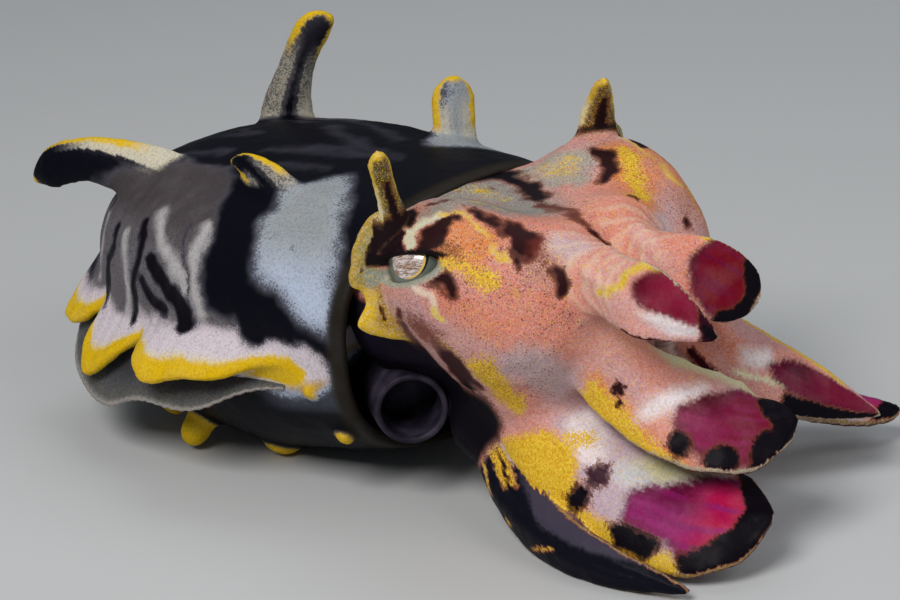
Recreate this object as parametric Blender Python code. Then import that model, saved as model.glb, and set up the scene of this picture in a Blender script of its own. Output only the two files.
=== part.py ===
"""Flamboyant cuttlefish, a still life-size model: it walks on the sea bed with its arms fanned out ahead.

Sizes are in millimetres and are turned into metres when a mesh is made. The head points along -Y, the animal's left
is +X and up is +Z. The body stands on z = 0, and the eyes are above y = 0 until the whole is centred at the end.
"""

import bmesh
import bpy
import numpy as np
from mathutils import Vector

MM = 0.001
GAP = 0.3  # clearance kept between two nodes that touch
ROOT_SINK = 1.6  # how far a raised form starts below the surface that it grows from

# Mantle: a broad, flattened barrel, from its free front rim to the rounded tail
MANTLE_RIM_Y = 8.6
MANTLE_TAIL_Y = 57.0
MANTLE_LOBE = 4.6  # how far the rim reaches forward over the head in the middle of the back
MANTLE_NOTCH = 1.5  # how far the rim is cut back under the funnel
MANTLE_HALF_WIDTH = 20.3
MANTLE_BACK_HEIGHT = 14.6  # above the centre line
MANTLE_BELLY_DEPTH = 15.7  # below the centre line
MANTLE_WIDEST = 0.38  # share of the length from the rim
MANTLE_SQUARENESS = 2.35
MANTLE_RIM_SHARE = 0.88  # size of the rim against the widest section
MANTLE_RIM_THICKNESS = 0.9
MANTLE_RECESS = 4.0  # depth of the opening that the neck fills
MANTLE_CENTRE = [(0.0, 16.4), (0.3, 14.9), (0.6, 14.8), (0.85, 15.6), (1.0, 16.6)]
MANTLE_FRONT_EASE = 1.6  # how slowly the barrel widens behind its rim
MANTLE_TAIL_ROUNDNESS = 2.15  # 2 is an ellipse, more is blunter
MANTLE_RINGS = 16
MANTLE_RING_CROWDING = 1.15  # over 1 sets the rings closer at the rim
MANTLE_LAST_RING = 0.9985
MANTLE_SIDES = 28

# Head: lobes that flow into one another, each with its centre and its half sizes
HEAD_MIDDLE = (0.0, -1.0, 19.5)
HEAD_BLEND = 1.5
HEAD_LOBES = [
    ((0.0, 0.5, 19.5), (12.0, 11.5, 8.6)),  # skull
    ((0.0, 9.0, 19.0), (14.5, 8.0, 9.5)),  # neck
    ((-10.7, 0.0, 25.4), (6.3, 7.8, 6.2)),  # right eye
    ((10.7, 0.0, 25.4), (6.3, 7.8, 6.2)),  # left eye
    ((-9.2, -5.0, 21.6), (5.8, 7.2, 6.6)),  # right cheek
    ((9.2, -5.0, 21.6), (5.8, 7.2, 6.6)),  # left cheek
    ((0.0, -5.5, 19.0), (9.5, 7.5, 8.0)),  # crown that the arms grow from
]
ARM_ROOT_SHARE = 0.17  # how far along an arm the head still swells round it
ARM_ROOT_SIZE = 0.42  # radius of that swelling over the arm's width
HEAD_ROUNDS = 4  # subdivisions of the ball that the head starts as
HEAD_SEARCH = (2.0, 40.0, 0.25)  # nearest and farthest reach of its surface from its middle, and the first step
HEAD_HALVINGS = 12  # refinements after that step

# Eyes and lids
EYE_CENTRE = (13.0, 0.2, 26.3)
EYE_RADIUS = 3.7
EYE_LOOK = (0.95, 0.0, 0.26)
LID_OPENING = (0.82, 0.36)  # half width and half height over the eyeball's radius
LID_RADIUS = 0.5
LID_OFFSET = 0.6  # how far its ring lies outside the opening, over its radius
LID_STEPS = 18
LID_SIDES = 6
LID_WINDOW = (1.5, 9.0)  # where the cone that clears the opening begins and ends, out from the eye's centre

# Arms: the path of the middle, the way the outer face looks, and the width, depth and cup at each station
ARM_ROWS = 13
ARM_COLUMNS = 7
BLADE_EDGE = 0.7  # thickness of a blade along its sides
BLADE_TIP = 0.3  # share of its length that rounds off
BLADE_TIP_CROWDING = 1.3  # over 1 sets the rows closer at the tip
BLADE_SIDE_CROWDING = 0.98  # 1 sets the columns as on a half circle
ARMS = {
    "arm_1_right": dict(
        path=[(-4.5, -5, 24.5), (-6, -11, 26), (-7, -16.5, 25.8), (-7.2, -21.5, 25.2), (-4.2, -26.2, 22.2)],
        face=[(-0.4, 0, 0.9), (-0.75, 0, 0.65), (-0.88, 0, 0.45), (-0.87, -0.35, 0.3), (-0.7, -0.7, 0)],
        width=[8, 7, 6, 6.5, 3],
        depth=[6, 4.6, 3.2, 2, 1],
        cup=[0.8, 0.8, 0.4, -0.6, -0.4],
    ),
    "arm_1_left": dict(
        path=[(3.5, -5, 25), (1.8, -10, 26.6), (0.3, -14.5, 26.6), (1.6, -19, 24.9), (5.6, -22.6, 21.6)],
        face=[(0.1, 0, 1), (-0.2, -0.1, 1), (-0.5, -0.3, 0.8), (-0.55, -0.7, 0.4), (-0.45, -0.85, 0.1)],
        width=[8, 6, 5, 7, 9.5],
        depth=[6, 4.6, 3, 1.8, 1.2],
        cup=[0.8, 0.8, 0.4, -0.5, -0.5],
    ),
    "arm_2_right": dict(
        path=[(-6, -5, 21.5), (-6.8, -11, 20.6), (-5.4, -16, 16.8), (-3.4, -20.8, 14.2), (-0.6, -25.4, 12.8),
              (3.4, -28.6, 12)],
        face=[(-0.7, -0.3, 0.65), (-0.65, -0.5, 0.55), (-0.45, -0.6, 0.65), (-0.33, -0.48, 0.8),
              (-0.22, -0.38, 0.9), (-0.2, -0.3, 0.93)],
        width=[8, 7.5, 8.5, 10.5, 11.5, 8.5],
        depth=[6.5, 5.2, 3.6, 2.6, 1.8, 1.1],
        cup=[1, 1.2, 1.4, 1.4, 1.2, 0.6],
    ),
    "arm_2_left": dict(
        path=[(7, -5, 20.5), (6.5, -12, 19), (7, -17.4, 16.2), (10, -20.7, 12.8), (13.7, -23.8, 9.8),
              (17.9, -26.8, 7)],
        face=[(0.3, -0.2, 0.9), (0, -0.5, 0.85), (-0.1, -0.8, 0.55), (-0.2, -0.84, 0.5), (-0.44, -0.76, 0.45),
              (-0.5, -0.7, 0.5)],
        width=[8, 7.5, 7.5, 7, 5, 2.4],
        depth=[6.5, 5, 3.4, 2.4, 1.6, 1],
        cup=[1, 1, 1.2, 1.2, 0.8, 0.3],
    ),
    "arm_3_right": dict(
        path=[(-5, -1, 16.5), (-7.4, -7, 12.8), (-8.2, -13.5, 9.2), (-7.2, -20.5, 6.6), (-5, -26, 5.4),
              (-2.6, -30.4, 5.2)],
        face=[(-0.75, -0.1, 0.65), (-0.6, -0.3, 0.73), (-0.55, -0.35, 0.75), (-0.45, -0.38, 0.8),
              (-0.35, -0.38, 0.86), (-0.3, -0.4, 0.87)],
        width=[9, 10.5, 11.5, 12.5, 13, 10],
        depth=[6.5, 5.2, 3.6, 2.6, 1.8, 1.1],
        cup=[1.2, 1.4, 1.6, 1.6, 1.4, 0.7],
    ),
    "arm_3_left": dict(
        path=[(7, -4.5, 14.5), (12, -10, 10.5), (17.5, -15.3, 7), (22.5, -19.3, 4.8), (26.8, -22.3, 3)],
        face=[(0.5, -0.4, 0.77)] * 5,
        width=[8, 7.5, 7, 6.5, 5],
        depth=[5, 4, 3, 2, 1.1],
        cup=[1.2, 1.4, 1.4, 1, 0.5],
    ),
    "arm_4_right": dict(
        path=[(-5, 4, 11.5), (-8.2, -0.5, 7.6), (-11.3, -6, 4.6), (-13.6, -13, 2.7), (-14, -20, 1.9),
              (-12.1, -28.4, 1.1)],
        face=[(-0.93, 0.36, 0.12), (-0.93, 0.36, 0.05), (-0.94, 0.25, 0.2), (-0.97, 0.1, 0.25), (-0.98, -0.1, 0.2),
              (-0.95, -0.25, 0.2)],
        width=[8, 8, 7, 5.6, 4.4, 2.4],
        depth=[5, 3.6, 2.8, 2.4, 1.8, 1],
        cup=[0.8, 0.8, 0.8, 0.6, 0.4, 0.2],
    ),
    "arm_4_left": dict(
        path=[(5, 2, 11.5), (8.5, -2, 7.6), (11.8, -6, 4.2), (14.6, -10, 2.4), (17, -14, 1.5)],
        face=[(0.9, 0.4, 0.12), (0.85, 0.45, 0.1), (0.8, 0.5, 0.2), (0.8, 0.5, 0.25), (0.85, 0.4, 0.2)],
        width=[8, 8, 7, 5.6, 3.6],
        depth=[5, 3.6, 2.8, 2.2, 1],
        cup=[0.8, 0.8, 0.8, 0.6, 0.3],
    ),
}


# Suckers: two rows on the inner face of each arm, out to its tip
SUCKER_PAIRS = 6
SUCKER_SPAN = (0.27, 0.92)  # share of the arm's length
SUCKER_SIZE = 0.085  # radius over the arm's width
SUCKER_SMALLEST = 0.38
SUCKER_HEIGHT = 0.9  # over its radius
SUCKER_ROW = 0.36  # distance of each row from the arm's middle, over half its width
SUCKER_STAGGER = 0.03  # how far one row is set along against the other, in shares of the arm's length
SUCKER_SIDES = 5
SUCKER_SINK = 0.4  # depth of its root in the arm
SUCKER_STALK = 0.7  # radius of the root, the bottom of the cup and its depth, over the rim's
SUCKER_CUP = 0.4
SUCKER_CUP_DEPTH = 0.55

# Papillae that stand up from the back and over the eyes
PAPILLA_ROWS = 9
PAPILLA_COLUMNS = 7
PAPILLAE = {
    "papilla_rear_right": dict(
        path=[(-7.6, 37, 22), (-10.2, 44, 25.4), (-12.2, 51, 27), (-13.8, 56.6, 25.8), (-14.2, 59, 23.8)],
        face=[(-0.9, 0.2, 0.5)] * 5,
        width=[10, 7, 4.8, 5, 3.4],
        depth=[3.5, 2.2, 1.6, 1.4, 1],
        cup=[0.3, 0.4, 0.5, 0.6, 0.4],
    ),
    "papilla_rear_left": dict(
        path=[(9, 44.3, 21), (9.5, 45, 27), (10.5, 43.9, 32), (11.6, 42, 36), (13.2, 40.5, 37.5)],
        face=[(-0.5, -0.7, 0)] * 5,
        width=[10, 5.8, 3.8, 3.8, 3.2],
        depth=[3, 2, 1.5, 1.3, 1],
        cup=[0.3, 0.4, 0.5, 0.6, 0.4],
    ),
    "papilla_middle_right": dict(
        path=[(-10, 22, 25), (-10.3, 25, 28.2), (-10.2, 28.5, 29.8), (-9.9, 31.5, 29.6)],
        face=[(-0.9, 0, 0.5)] * 4,
        width=[6, 4.5, 2.6, 1.6],
        depth=[2.4, 1.8, 1.2, 0.9],
        cup=[0.2, 0.2, 0.2, 0.1],
    ),
    "papilla_middle_left": dict(
        path=[(10.7, 21, 25), (11, 21, 29), (11.6, 21.4, 32), (12.2, 21.8, 34.2)],
        face=[(-0.5, -0.8, 0)] * 4,
        width=[6, 4.6, 4.4, 3.6],
        depth=[2.4, 1.6, 1.3, 1],
        cup=[0.2, 0.3, 0.4, 0.4],
    ),
    "brow_papilla_right": dict(
        path=[(-14.5, 2.5, 28), (-15.8, 2, 32), (-17.3, 1.2, 35.5), (-18.6, 0.3, 38.6)],
        face=[(-0.5, -0.8, 0.1)] * 4,
        width=[5.5, 3.2, 2.4, 2.8],
        depth=[2.4, 1.6, 1.2, 1],
        cup=[0.2, 0.3, 0.4, 0.4],
    ),
    "brow_papilla_left": dict(
        path=[(12, 2.5, 29), (11.8, 1.8, 33), (11, 0.3, 36), (10, -1, 38)],
        face=[(-0.5, -0.8, 0.1)] * 4,
        width=[6, 3.8, 2.2, 1.6],
        depth=[2.4, 1.6, 1.2, 0.9],
        cup=[0.2, 0.3, 0.4, 0.3],
    ),
}

# Cheek flaps behind and below each eye, with two lobes
CHEEK_ROOT = [(-14, 3.2, 31), (-14.6, 3.4, 27.5), (-14, 2.6, 23.5), (-12.6, 0.6, 19.5)]
CHEEK_EDGE = [(-17.2, 4.2, 32.5), (-18.6, 5.2, 27.5), (-19, 5.2, 22.6), (-17.4, 3.6, 18.2)]
CHEEK_THICKNESS = (2.2, 0.8)  # at the root and at the edge
CHEEK_NOTCH = 0.56  # place of the notch between the two lobes, along the flap
CHEEK_NOTCH_DEPTH = 0.26
CHEEK_NOTCH_WIDTH = 0.08
CHEEK_ROWS = 13

# Flank: three scalloped lobes over a thin waving fin, on each side of the mantle
FLANK_BREAKS = [0.12, 0.54, 0.77, 0.96]  # where the lobes begin and end, in shares of the mantle's length
FLANK_ANGLES = [180.0, 176.5, 184.5, 183.0]  # degrees round the mantle from front to tail, 180 being the right side
FLANK_ROWS = 9  # of each lobe
FLANK_REACH = (0.7, 5.4)  # between the lobes and at their tips
FLANK_TIP = 0.74  # where a lobe is longest, in shares of its own length
FLANK_THICKNESS = (2.6, 0.8)
FLANK_SLOPE = (0, 0.3, -0.5)  # added to the way out from the mantle
FLANK_DROOP = 0.04  # fall in millimetres for each square millimetre of reach
FIN_ROWS = 27
FIN_SPAN = (0.14, 0.97)
FIN_ANGLES = [187.0, 186.5, 191.0, 190.0]
FIN_REACH = [1.0, 4.4, 5.8, 6.6, 4.0]
FIN_WAVES = 5
FIN_WAVE_HEIGHT = 0.8
FIN_THICKNESS = (1.0, 0.5)

# Funnel: bent to the right under the head, open at its mouth
FUNNEL_PATH = [(-1, 17, 8), (-5.5, 13, 9.5), (-9.5, 9, 10.2), (-12.6, 5.2, 10.4)]
FUNNEL_RADII = [6.5, 5.6, 4.2, 3.5]
FUNNEL_RINGS = 8
FUNNEL_SIDES = 18
FUNNEL_BORE_DEPTH = 7.0
FUNNEL_BORE_RADII = [1.3, 2.5, 2.9]  # from its end inside to just beyond the mouth
FUNNEL_BORE_CLEAR = 1.5  # how far the cutter reaches out past the mouth

# Mouth: the lips that surround the beak, between the roots of the arms
MOUTH_CENTRE = (0.0, -13.6, 16.5)
MOUTH_RADIUS = 4.4
MOUTH_FOLDS = 6
MOUTH_FOLD_DEPTH = 0.06
MOUTH_RINGS = [(7.0, 0.9), (2.5, 1.0), (0.2, 0.93), (-1.2, 0.62), (-0.5, 0.36), (-1.6, 0.16)]  # place and size

# Lobes on the belly: place along the mantle, angle round it, length and radius
BELLY_LOBES = [
    (0.52, 222, 3.6, 2.0),
    (0.33, 236, 1.4, 2.2),
    (0.64, 228, 2.4, 1.6),
    (0.05, 214, 1.2, 1.1),
    (0.08, 190, 1.1, 1.1),
]


def smooth_through(values, at):
    """Reads a smooth curve through evenly spaced values, or points, at shares of its length."""
    values = np.asarray(values, float)
    if values.ndim == 1:
        values = values[:, None]
    knots = np.linspace(0, 1, len(values))
    slopes = np.gradient(values, knots, axis=0)
    at = np.clip(np.atleast_1d(np.asarray(at, float)), knots[0], knots[-1])
    left = np.clip(np.searchsorted(knots, at) - 1, 0, len(knots) - 2)
    span = (knots[left + 1] - knots[left])[:, None]
    u = (at[:, None] - knots[left][:, None]) / span
    read = (
        (2 * u**3 - 3 * u**2 + 1) * values[left]
        + (u**3 - 2 * u**2 + u) * span * slopes[left]
        + (3 * u**2 - 2 * u**3) * values[left + 1]
        + (u**3 - u**2) * span * slopes[left + 1]
    )
    return read[:, 0] if read.shape[1] == 1 else read


def unit(vectors):
    vectors = np.asarray(vectors, float)
    return vectors / np.maximum(np.linalg.norm(vectors, axis=-1, keepdims=True), 1e-9)


def make_object(name, points, faces):
    """A mesh object from points in millimetres."""
    mesh = bpy.data.meshes.new(name)
    mesh.from_pydata((np.asarray(points) * MM).tolist(), [], [tuple(int(i) for i in f) for f in faces])
    obj = bpy.data.objects.new(name, mesh)
    bpy.context.scene.collection.objects.link(obj)
    return obj


def closed_loft(rings):
    """Points and faces of a closed surface through rings of equally many points, capped by a fan at each end."""
    rings = np.asarray(rings, float)
    count, sides = rings.shape[:2]
    points = rings.reshape(-1, 3).tolist()
    points.append(rings[0].mean(0).tolist())
    points.append(rings[-1].mean(0).tolist())
    first, last = count * sides, count * sides + 1
    faces = []
    for i in range(count - 1):
        for j in range(sides):
            k = (j + 1) % sides
            faces.append((i * sides + j, i * sides + k, (i + 1) * sides + k, (i + 1) * sides + j))
    for j in range(sides):
        k = (j + 1) % sides
        faces.append((first, k, j))
        faces.append((last, (count - 1) * sides + j, (count - 1) * sides + k))
    return points, faces


def sheet_solid(middle, thickness, normal=None):
    """A thin closed solid round a grid of middle points, split into triangles alike on both faces."""
    middle = np.asarray(middle, float)
    rows, columns = middle.shape[:2]
    if normal is None:
        normal = unit(np.cross(np.gradient(middle, axis=0), np.gradient(middle, axis=1)))
    half = np.broadcast_to(thickness, (rows, columns))[..., None] / 2
    points = np.concatenate([(middle + normal * half).reshape(-1, 3), (middle - normal * half).reshape(-1, 3)])
    under = rows * columns
    faces = []
    for i in range(rows - 1):
        for j in range(columns - 1):
            a = i * columns + j
            b, d = a + 1, a + columns
            c = d + 1
            faces += [(a, d, c), (a, c, b), (under + a, under + c, under + d), (under + a, under + b, under + c)]
    border = list(range(columns - 1))
    border += [i * columns + columns - 1 for i in range(rows - 1)]
    border += [(rows - 1) * columns + j for j in range(columns - 1, 0, -1)]
    border += [i * columns for i in range(rows - 1, 0, -1)]
    for a, b in zip(border, border[1:] + border[:1]):
        faces += [(a, b, under + b), (a, under + b, under + a)]
    return points, faces


def outward(obj):
    """Turns every face of a closed mesh outward."""
    mesh = bmesh.new()
    mesh.from_mesh(obj.data)
    bmesh.ops.recalc_face_normals(mesh, faces=mesh.faces)
    mesh.to_mesh(obj.data)
    mesh.free()
    return obj


def grown(obj, distance, keep=False):
    """The solid with its points moved out from the surface by distance, as a copy where the solid itself is kept."""
    mesh = bmesh.new()
    mesh.from_mesh(obj.data)
    mesh.normal_update()
    moves = [v.normal * distance * MM for v in mesh.verts]
    for vert, move in zip(mesh.verts, moves):
        vert.co += move
    if keep:
        obj = bpy.data.objects.new(obj.name + "_grown", bpy.data.meshes.new(obj.name + "_grown"))
        bpy.context.scene.collection.objects.link(obj)
    mesh.to_mesh(obj.data)
    mesh.free()
    return obj


def combine(target, others, operation, solver="EXACT"):
    """Applies one Boolean of target with a collection of closed meshes, which are then removed."""
    group = bpy.data.collections.new("combined")
    bpy.context.scene.collection.children.link(group)
    for other in others:
        group.objects.link(other)
    modifier = target.modifiers.new("combine", "BOOLEAN")
    modifier.operation = operation
    modifier.operand_type = "COLLECTION"
    modifier.collection = group
    modifier.solver = solver
    graph = bpy.context.evaluated_depsgraph_get()
    result = bpy.data.meshes.new_from_object(target.evaluated_get(graph))
    target.modifiers.clear()
    target.data = result
    for other in others:
        bpy.data.objects.remove(other)
    bpy.data.collections.remove(group)
    keep_largest(target)
    return target


def surface_of(verts):
    """The area of all faces that meet at a set of vertices."""
    return sum(face.calc_area() for face in {face for vert in verts for face in vert.link_faces})


def keep_largest(obj):
    """Keeps the largest closed surface of a mesh and merges points that all but coincide."""
    mesh = bmesh.new()
    mesh.from_mesh(obj.data)
    bmesh.ops.remove_doubles(mesh, verts=mesh.verts, dist=0.002 * MM)
    bmesh.ops.dissolve_degenerate(mesh, edges=mesh.edges, dist=0.002 * MM)
    bmesh.ops.triangulate(mesh, faces=mesh.faces)
    left = set(mesh.verts)
    groups = []
    while left:
        queue = [left.pop()]
        group = set(queue)
        while queue:
            for edge in queue.pop().link_edges:
                for vert in edge.verts:
                    if vert in left:
                        left.discard(vert)
                        group.add(vert)
                        queue.append(vert)
        groups.append(group)
    largest = max(groups, key=surface_of)
    bmesh.ops.delete(mesh, geom=[v for v in mesh.verts if v not in largest], context="VERTS")
    mesh.to_mesh(obj.data)
    mesh.free()


def mantle_profile(s):
    """Size of the mantle's section against the widest one, at shares s of its length."""
    front = 1 - (1 - MANTLE_RIM_SHARE) * np.clip(1 - s / MANTLE_WIDEST, 0, 1) ** MANTLE_FRONT_EASE
    back = np.clip((s - MANTLE_WIDEST) / (1 - MANTLE_WIDEST), 0, 1)
    return front * np.clip(1 - back**MANTLE_TAIL_ROUNDNESS, 0, 1) ** (1 / MANTLE_TAIL_ROUNDNESS)


def mantle_point(s, degrees, lift=0.0, shrink=1.0):
    """A point of the mantle's surface, at share s of its length and an angle round it (90 is the back)."""
    s, degrees = np.broadcast_arrays(np.asarray(s, float), np.asarray(degrees, float))
    cos, sin = np.cos(np.radians(degrees)), np.sin(np.radians(degrees))
    size = mantle_profile(s) * shrink
    wide = np.sign(cos) * np.abs(cos) ** (2 / MANTLE_SQUARENESS)
    high = np.sign(sin) * np.abs(sin) ** (2 / MANTLE_SQUARENESS)
    rim = MANTLE_RIM_Y - MANTLE_LOBE * np.clip(sin, 0, 1) ** 3 + MANTLE_NOTCH * np.clip(-sin, 0, 1) ** 2
    knots, centres = np.array(MANTLE_CENTRE).T
    middle = np.interp(s, knots, centres)
    height = np.where(high > 0, MANTLE_BACK_HEIGHT, MANTLE_BELLY_DEPTH)
    x = (MANTLE_HALF_WIDTH * size + lift) * wide
    z = middle + (height * size + lift) * high
    y = rim + s * (MANTLE_TAIL_Y - rim)
    return np.stack([x, y, np.maximum(z, 0.0)], axis=-1)


def mantle(name, lift=0.0):
    """The barrel, with a shallow opening inside its free rim."""
    around = np.arange(MANTLE_SIDES) * 360 / MANTLE_SIDES
    along = np.sin(np.linspace(0, np.pi / 2, MANTLE_RINGS)) ** MANTLE_RING_CROWDING
    along = np.minimum(along, MANTLE_LAST_RING)
    inner = 1 - MANTLE_RIM_THICKNESS / MANTLE_BACK_HEIGHT
    rings = []
    recess = mantle_point(0, around, lift=-lift, shrink=inner * 0.96) + [0, MANTLE_RECESS - lift, 0]
    lip = mantle_point(0, around, lift=-lift, shrink=inner)
    rings.append(recess * [0.6, 1, 0.6] + recess.mean(0) * [0.4, 0, 0.4])
    rings.append(recess)
    rings.append(lip + [0, -lift, 0])
    for s in along:
        ring = mantle_point(s, around, lift=lift)
        if s == along[0]:
            ring = ring + [0, -lift, 0]
        rings.append(ring)
    rings[-1] = rings[-1] + [0, lift, 0]
    return outward(make_object(name, *closed_loft(rings)))


def arm_root_lobes():
    """A ball round the root of each arm, which the head's surface flows into."""
    lobes = []
    for shape in ARMS.values():
        middle = smooth_through(shape["path"], [ARM_ROOT_SHARE])[0]
        lobes.append((middle, (shape["width"][0] * ARM_ROOT_SIZE,) * 3))
    return lobes


def head_field(points):
    """Roughly the distance in millimetres from the head's surface, negative inside."""
    total = np.zeros(len(points))
    for centre, radii in HEAD_LOBES + arm_root_lobes():
        reach = np.linalg.norm((points - centre) / radii, axis=1)
        distance = (reach - 1) * min(radii)
        total += np.exp(-distance / HEAD_BLEND)
    return -HEAD_BLEND * np.log(total)


def head(name, lift=0.0):
    """A ball whose points are pushed out to where the blended lobes end."""
    mesh = bmesh.new()
    bmesh.ops.create_icosphere(mesh, subdivisions=HEAD_ROUNDS, radius=1)
    directions = np.array([v.co for v in mesh.verts])
    faces = [[v.index for v in f.verts] for f in mesh.faces]
    mesh.free()
    nearest, farthest, step = HEAD_SEARCH
    reach = np.full(len(directions), nearest)
    for distance in np.arange(nearest, farthest, step):
        inside = head_field(HEAD_MIDDLE + directions * distance) < lift
        reach[inside] = distance
    low, high = reach, reach + step
    for _ in range(HEAD_HALVINGS):
        middle = (low + high) / 2
        inside = head_field(HEAD_MIDDLE + directions * middle[:, None]) < lift
        low, high = np.where(inside, middle, low), np.where(inside, high, middle)
    return outward(make_object(name, HEAD_MIDDLE + directions * low[:, None], faces))


def ball(name, centre, radius, rounds=3):
    mesh = bmesh.new()
    bmesh.ops.create_icosphere(mesh, subdivisions=rounds, radius=radius)
    points = np.array([v.co for v in mesh.verts]) + centre
    faces = [[v.index for v in f.verts] for f in mesh.faces]
    mesh.free()
    return make_object(name, points, faces)


def mirrored(side, point):
    """A point of the left side, or its mirror image for the right side."""
    return np.array(point, float) * [side, 1, 1]


def eye_opening(side, around):
    """Directions from the eyeball's centre to the almond-shaped edge of its opening, and away from the middle."""
    look = unit(mirrored(side, EYE_LOOK))
    ahead = unit(np.cross(look, (0, 0, 1)))
    up = np.cross(ahead, look)
    cos, sin = np.cos(around)[:, None], np.sin(around)[:, None]
    out = unit(look + ahead * LID_OPENING[0] * cos + up * LID_OPENING[1] * sin)
    away = unit(ahead * cos * LID_OPENING[1] + up * sin * LID_OPENING[0])
    return out, away


def closed_ring(points):
    """Points and faces of a tube that runs round into itself, from an array of its sections."""
    steps, sides = points.shape[:2]
    faces = []
    for i in range(steps):
        for j in range(sides):
            k, n = (j + 1) % sides, (i + 1) % steps
            faces.append((i * sides + j, i * sides + k, n * sides + k, n * sides + j))
    return points.reshape(-1, 3), faces


def eyelids(side):
    """One ring that runs round the eye's opening."""
    around = np.linspace(0, 2 * np.pi, LID_STEPS, endpoint=False)
    turn = np.linspace(0, 2 * np.pi, LID_SIDES, endpoint=False)
    out, away = eye_opening(side, around)
    spine = mirrored(side, EYE_CENTRE) + out * (EYE_RADIUS + GAP) + away * LID_RADIUS * LID_OFFSET
    ring = np.cos(turn)[None, :, None] * out[:, None] + np.sin(turn)[None, :, None] * away[:, None]
    return outward(make_object("lids", *closed_ring(spine[:, None] + LID_RADIUS * ring)))


def eye_window(side):
    """A cone that clears the head from in front of the eye's opening."""
    out, _ = eye_opening(side, np.linspace(0, 2 * np.pi, LID_STEPS, endpoint=False))
    centre = mirrored(side, EYE_CENTRE)
    return outward(make_object("window", *closed_loft([centre + out * reach for reach in LID_WINDOW])))


def blade_frame(shape, t):
    """Middle, outer normal and side direction of a blade at shares t of its length."""
    middle = smooth_through(shape["path"], t)
    ahead = unit(np.gradient(smooth_through(shape["path"], np.linspace(0, 1, 200)), axis=0))
    ahead = ahead[np.clip((np.asarray(t) * 199).round().astype(int), 0, 199)]
    normal = smooth_through(shape["face"], t)
    normal = unit(normal - ahead * np.sum(normal * ahead, axis=1, keepdims=True))
    return middle, normal, np.cross(ahead, normal)


def blade_grid(shape, t, v):
    """Middle points, thickness and normals of a blade, cupped away from its outer face and rounded at its tip."""
    middle, normal, side = blade_frame(shape, t)
    width, depth, cup = (smooth_through(shape[key], t) for key in ("width", "depth", "cup"))
    tip = np.clip((t - 1 + BLADE_TIP) / BLADE_TIP, 0, 1)
    rounding = np.sqrt(np.clip(1 - tip**2, 0.03, 1))
    half = (width / 2 * rounding)[:, None, None]
    across = np.asarray(v)[None, :, None]
    points = middle[:, None] + side[:, None] * half * across
    points = points - normal[:, None] * (cup * rounding)[:, None, None] * across**2
    points[..., 2] = np.maximum(points[..., 2], 0)
    thickness = BLADE_EDGE + (depth - BLADE_EDGE)[:, None] * (1 - np.asarray(v)[None, :] ** 2)
    return points, thickness, np.broadcast_to(normal[:, None], points.shape)


def blade(name, shape, rows=ARM_ROWS, columns=ARM_COLUMNS):
    """A closed leaf-shaped solid, thick along its middle and thin along its sides."""
    t = 1 - (1 - np.linspace(0, 1, rows)) ** BLADE_TIP_CROWDING
    turn = np.linspace(-np.pi / 2, np.pi / 2, columns) * BLADE_SIDE_CROWDING
    v = np.sin(turn) / np.sin(turn[-1])
    solid = outward(make_object(name, *sheet_solid(*blade_grid(shape, t, v))))
    for vert in solid.data.vertices:
        vert.co.z = max(vert.co.z, 0.0)
    return solid


def sucker(place, out, radius):
    """A cup with a flared rim, its root sunk into the arm."""
    across = unit(np.cross(out, (0.3, 0.2, 0.9)))
    up = np.cross(out, across)
    turn = np.linspace(0, 2 * np.pi, SUCKER_SIDES, endpoint=False)[:, None]
    circle = np.cos(turn) * across + np.sin(turn) * up
    height = radius * SUCKER_HEIGHT
    root = place - out * SUCKER_SINK + circle * radius * SUCKER_STALK
    rim = place + out * height + circle * radius
    hollow = place + out * height * (1 - SUCKER_CUP_DEPTH) + circle * radius * SUCKER_CUP
    return outward(make_object("sucker", *closed_loft([root, rim, hollow])))


def suckers(shape):
    """Both rows of suckers on the inner face of one arm."""
    made = []
    for t in np.linspace(*SUCKER_SPAN, SUCKER_PAIRS):
        for row in (-SUCKER_ROW, SUCKER_ROW):
            at = t + (SUCKER_STAGGER if row > 0 else 0)
            points, thickness, normal = blade_grid(shape, np.array([at]), np.array([row]))
            width = smooth_through(shape["width"], at)[0]
            radius = max(width * SUCKER_SIZE, SUCKER_SMALLEST)
            place = points[0, 0] - normal[0, 0] * thickness[0, 0] / 2
            made.append(sucker(place, -normal[0, 0], radius))
    return made


def cheek_flap(name, side):
    """A thin flap along the cheek, notched into two lobes and rounded at both ends."""
    t = np.linspace(0, 1, CHEEK_ROWS)
    root = smooth_through(CHEEK_ROOT, t) * [-side, 1, 1]
    edge = smooth_through(CHEEK_EDGE, t) * [-side, 1, 1]
    notch = np.exp(-(((t - CHEEK_NOTCH) / CHEEK_NOTCH_WIDTH) ** 2))
    ends = np.sqrt(np.clip(np.sin(np.pi * (0.06 + 0.88 * t)) * 1.6, 0, 1))
    lobes = (1 - CHEEK_NOTCH_DEPTH * notch) * ends
    across = np.linspace(0, 1, 4)
    reach = across[None, :, None] * lobes[:, None, None]
    grid = root[:, None] * (1 - reach) + edge[:, None] * reach
    thickness = CHEEK_THICKNESS[0] + (CHEEK_THICKNESS[1] - CHEEK_THICKNESS[0]) * across
    return outward(make_object(name, *sheet_solid(grid, thickness[None, :])))


def flank_grid(side, s, degrees, reach, across):
    """Middle points of a flap that grows from the mantle's side and droops as it reaches out."""
    degrees = degrees if side < 0 else 540 - degrees
    root = mantle_point(s, degrees, lift=-ROOT_SINK)
    out = unit(mantle_point(s, degrees, lift=1) - mantle_point(s, degrees))
    way = unit(out + FLANK_SLOPE)
    distance = across[None, :] * (reach + ROOT_SINK)[:, None]
    grid = root[:, None] + way[:, None] * distance[..., None]
    grid[..., 2] -= FLANK_DROOP * distance**2
    return grid


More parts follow.
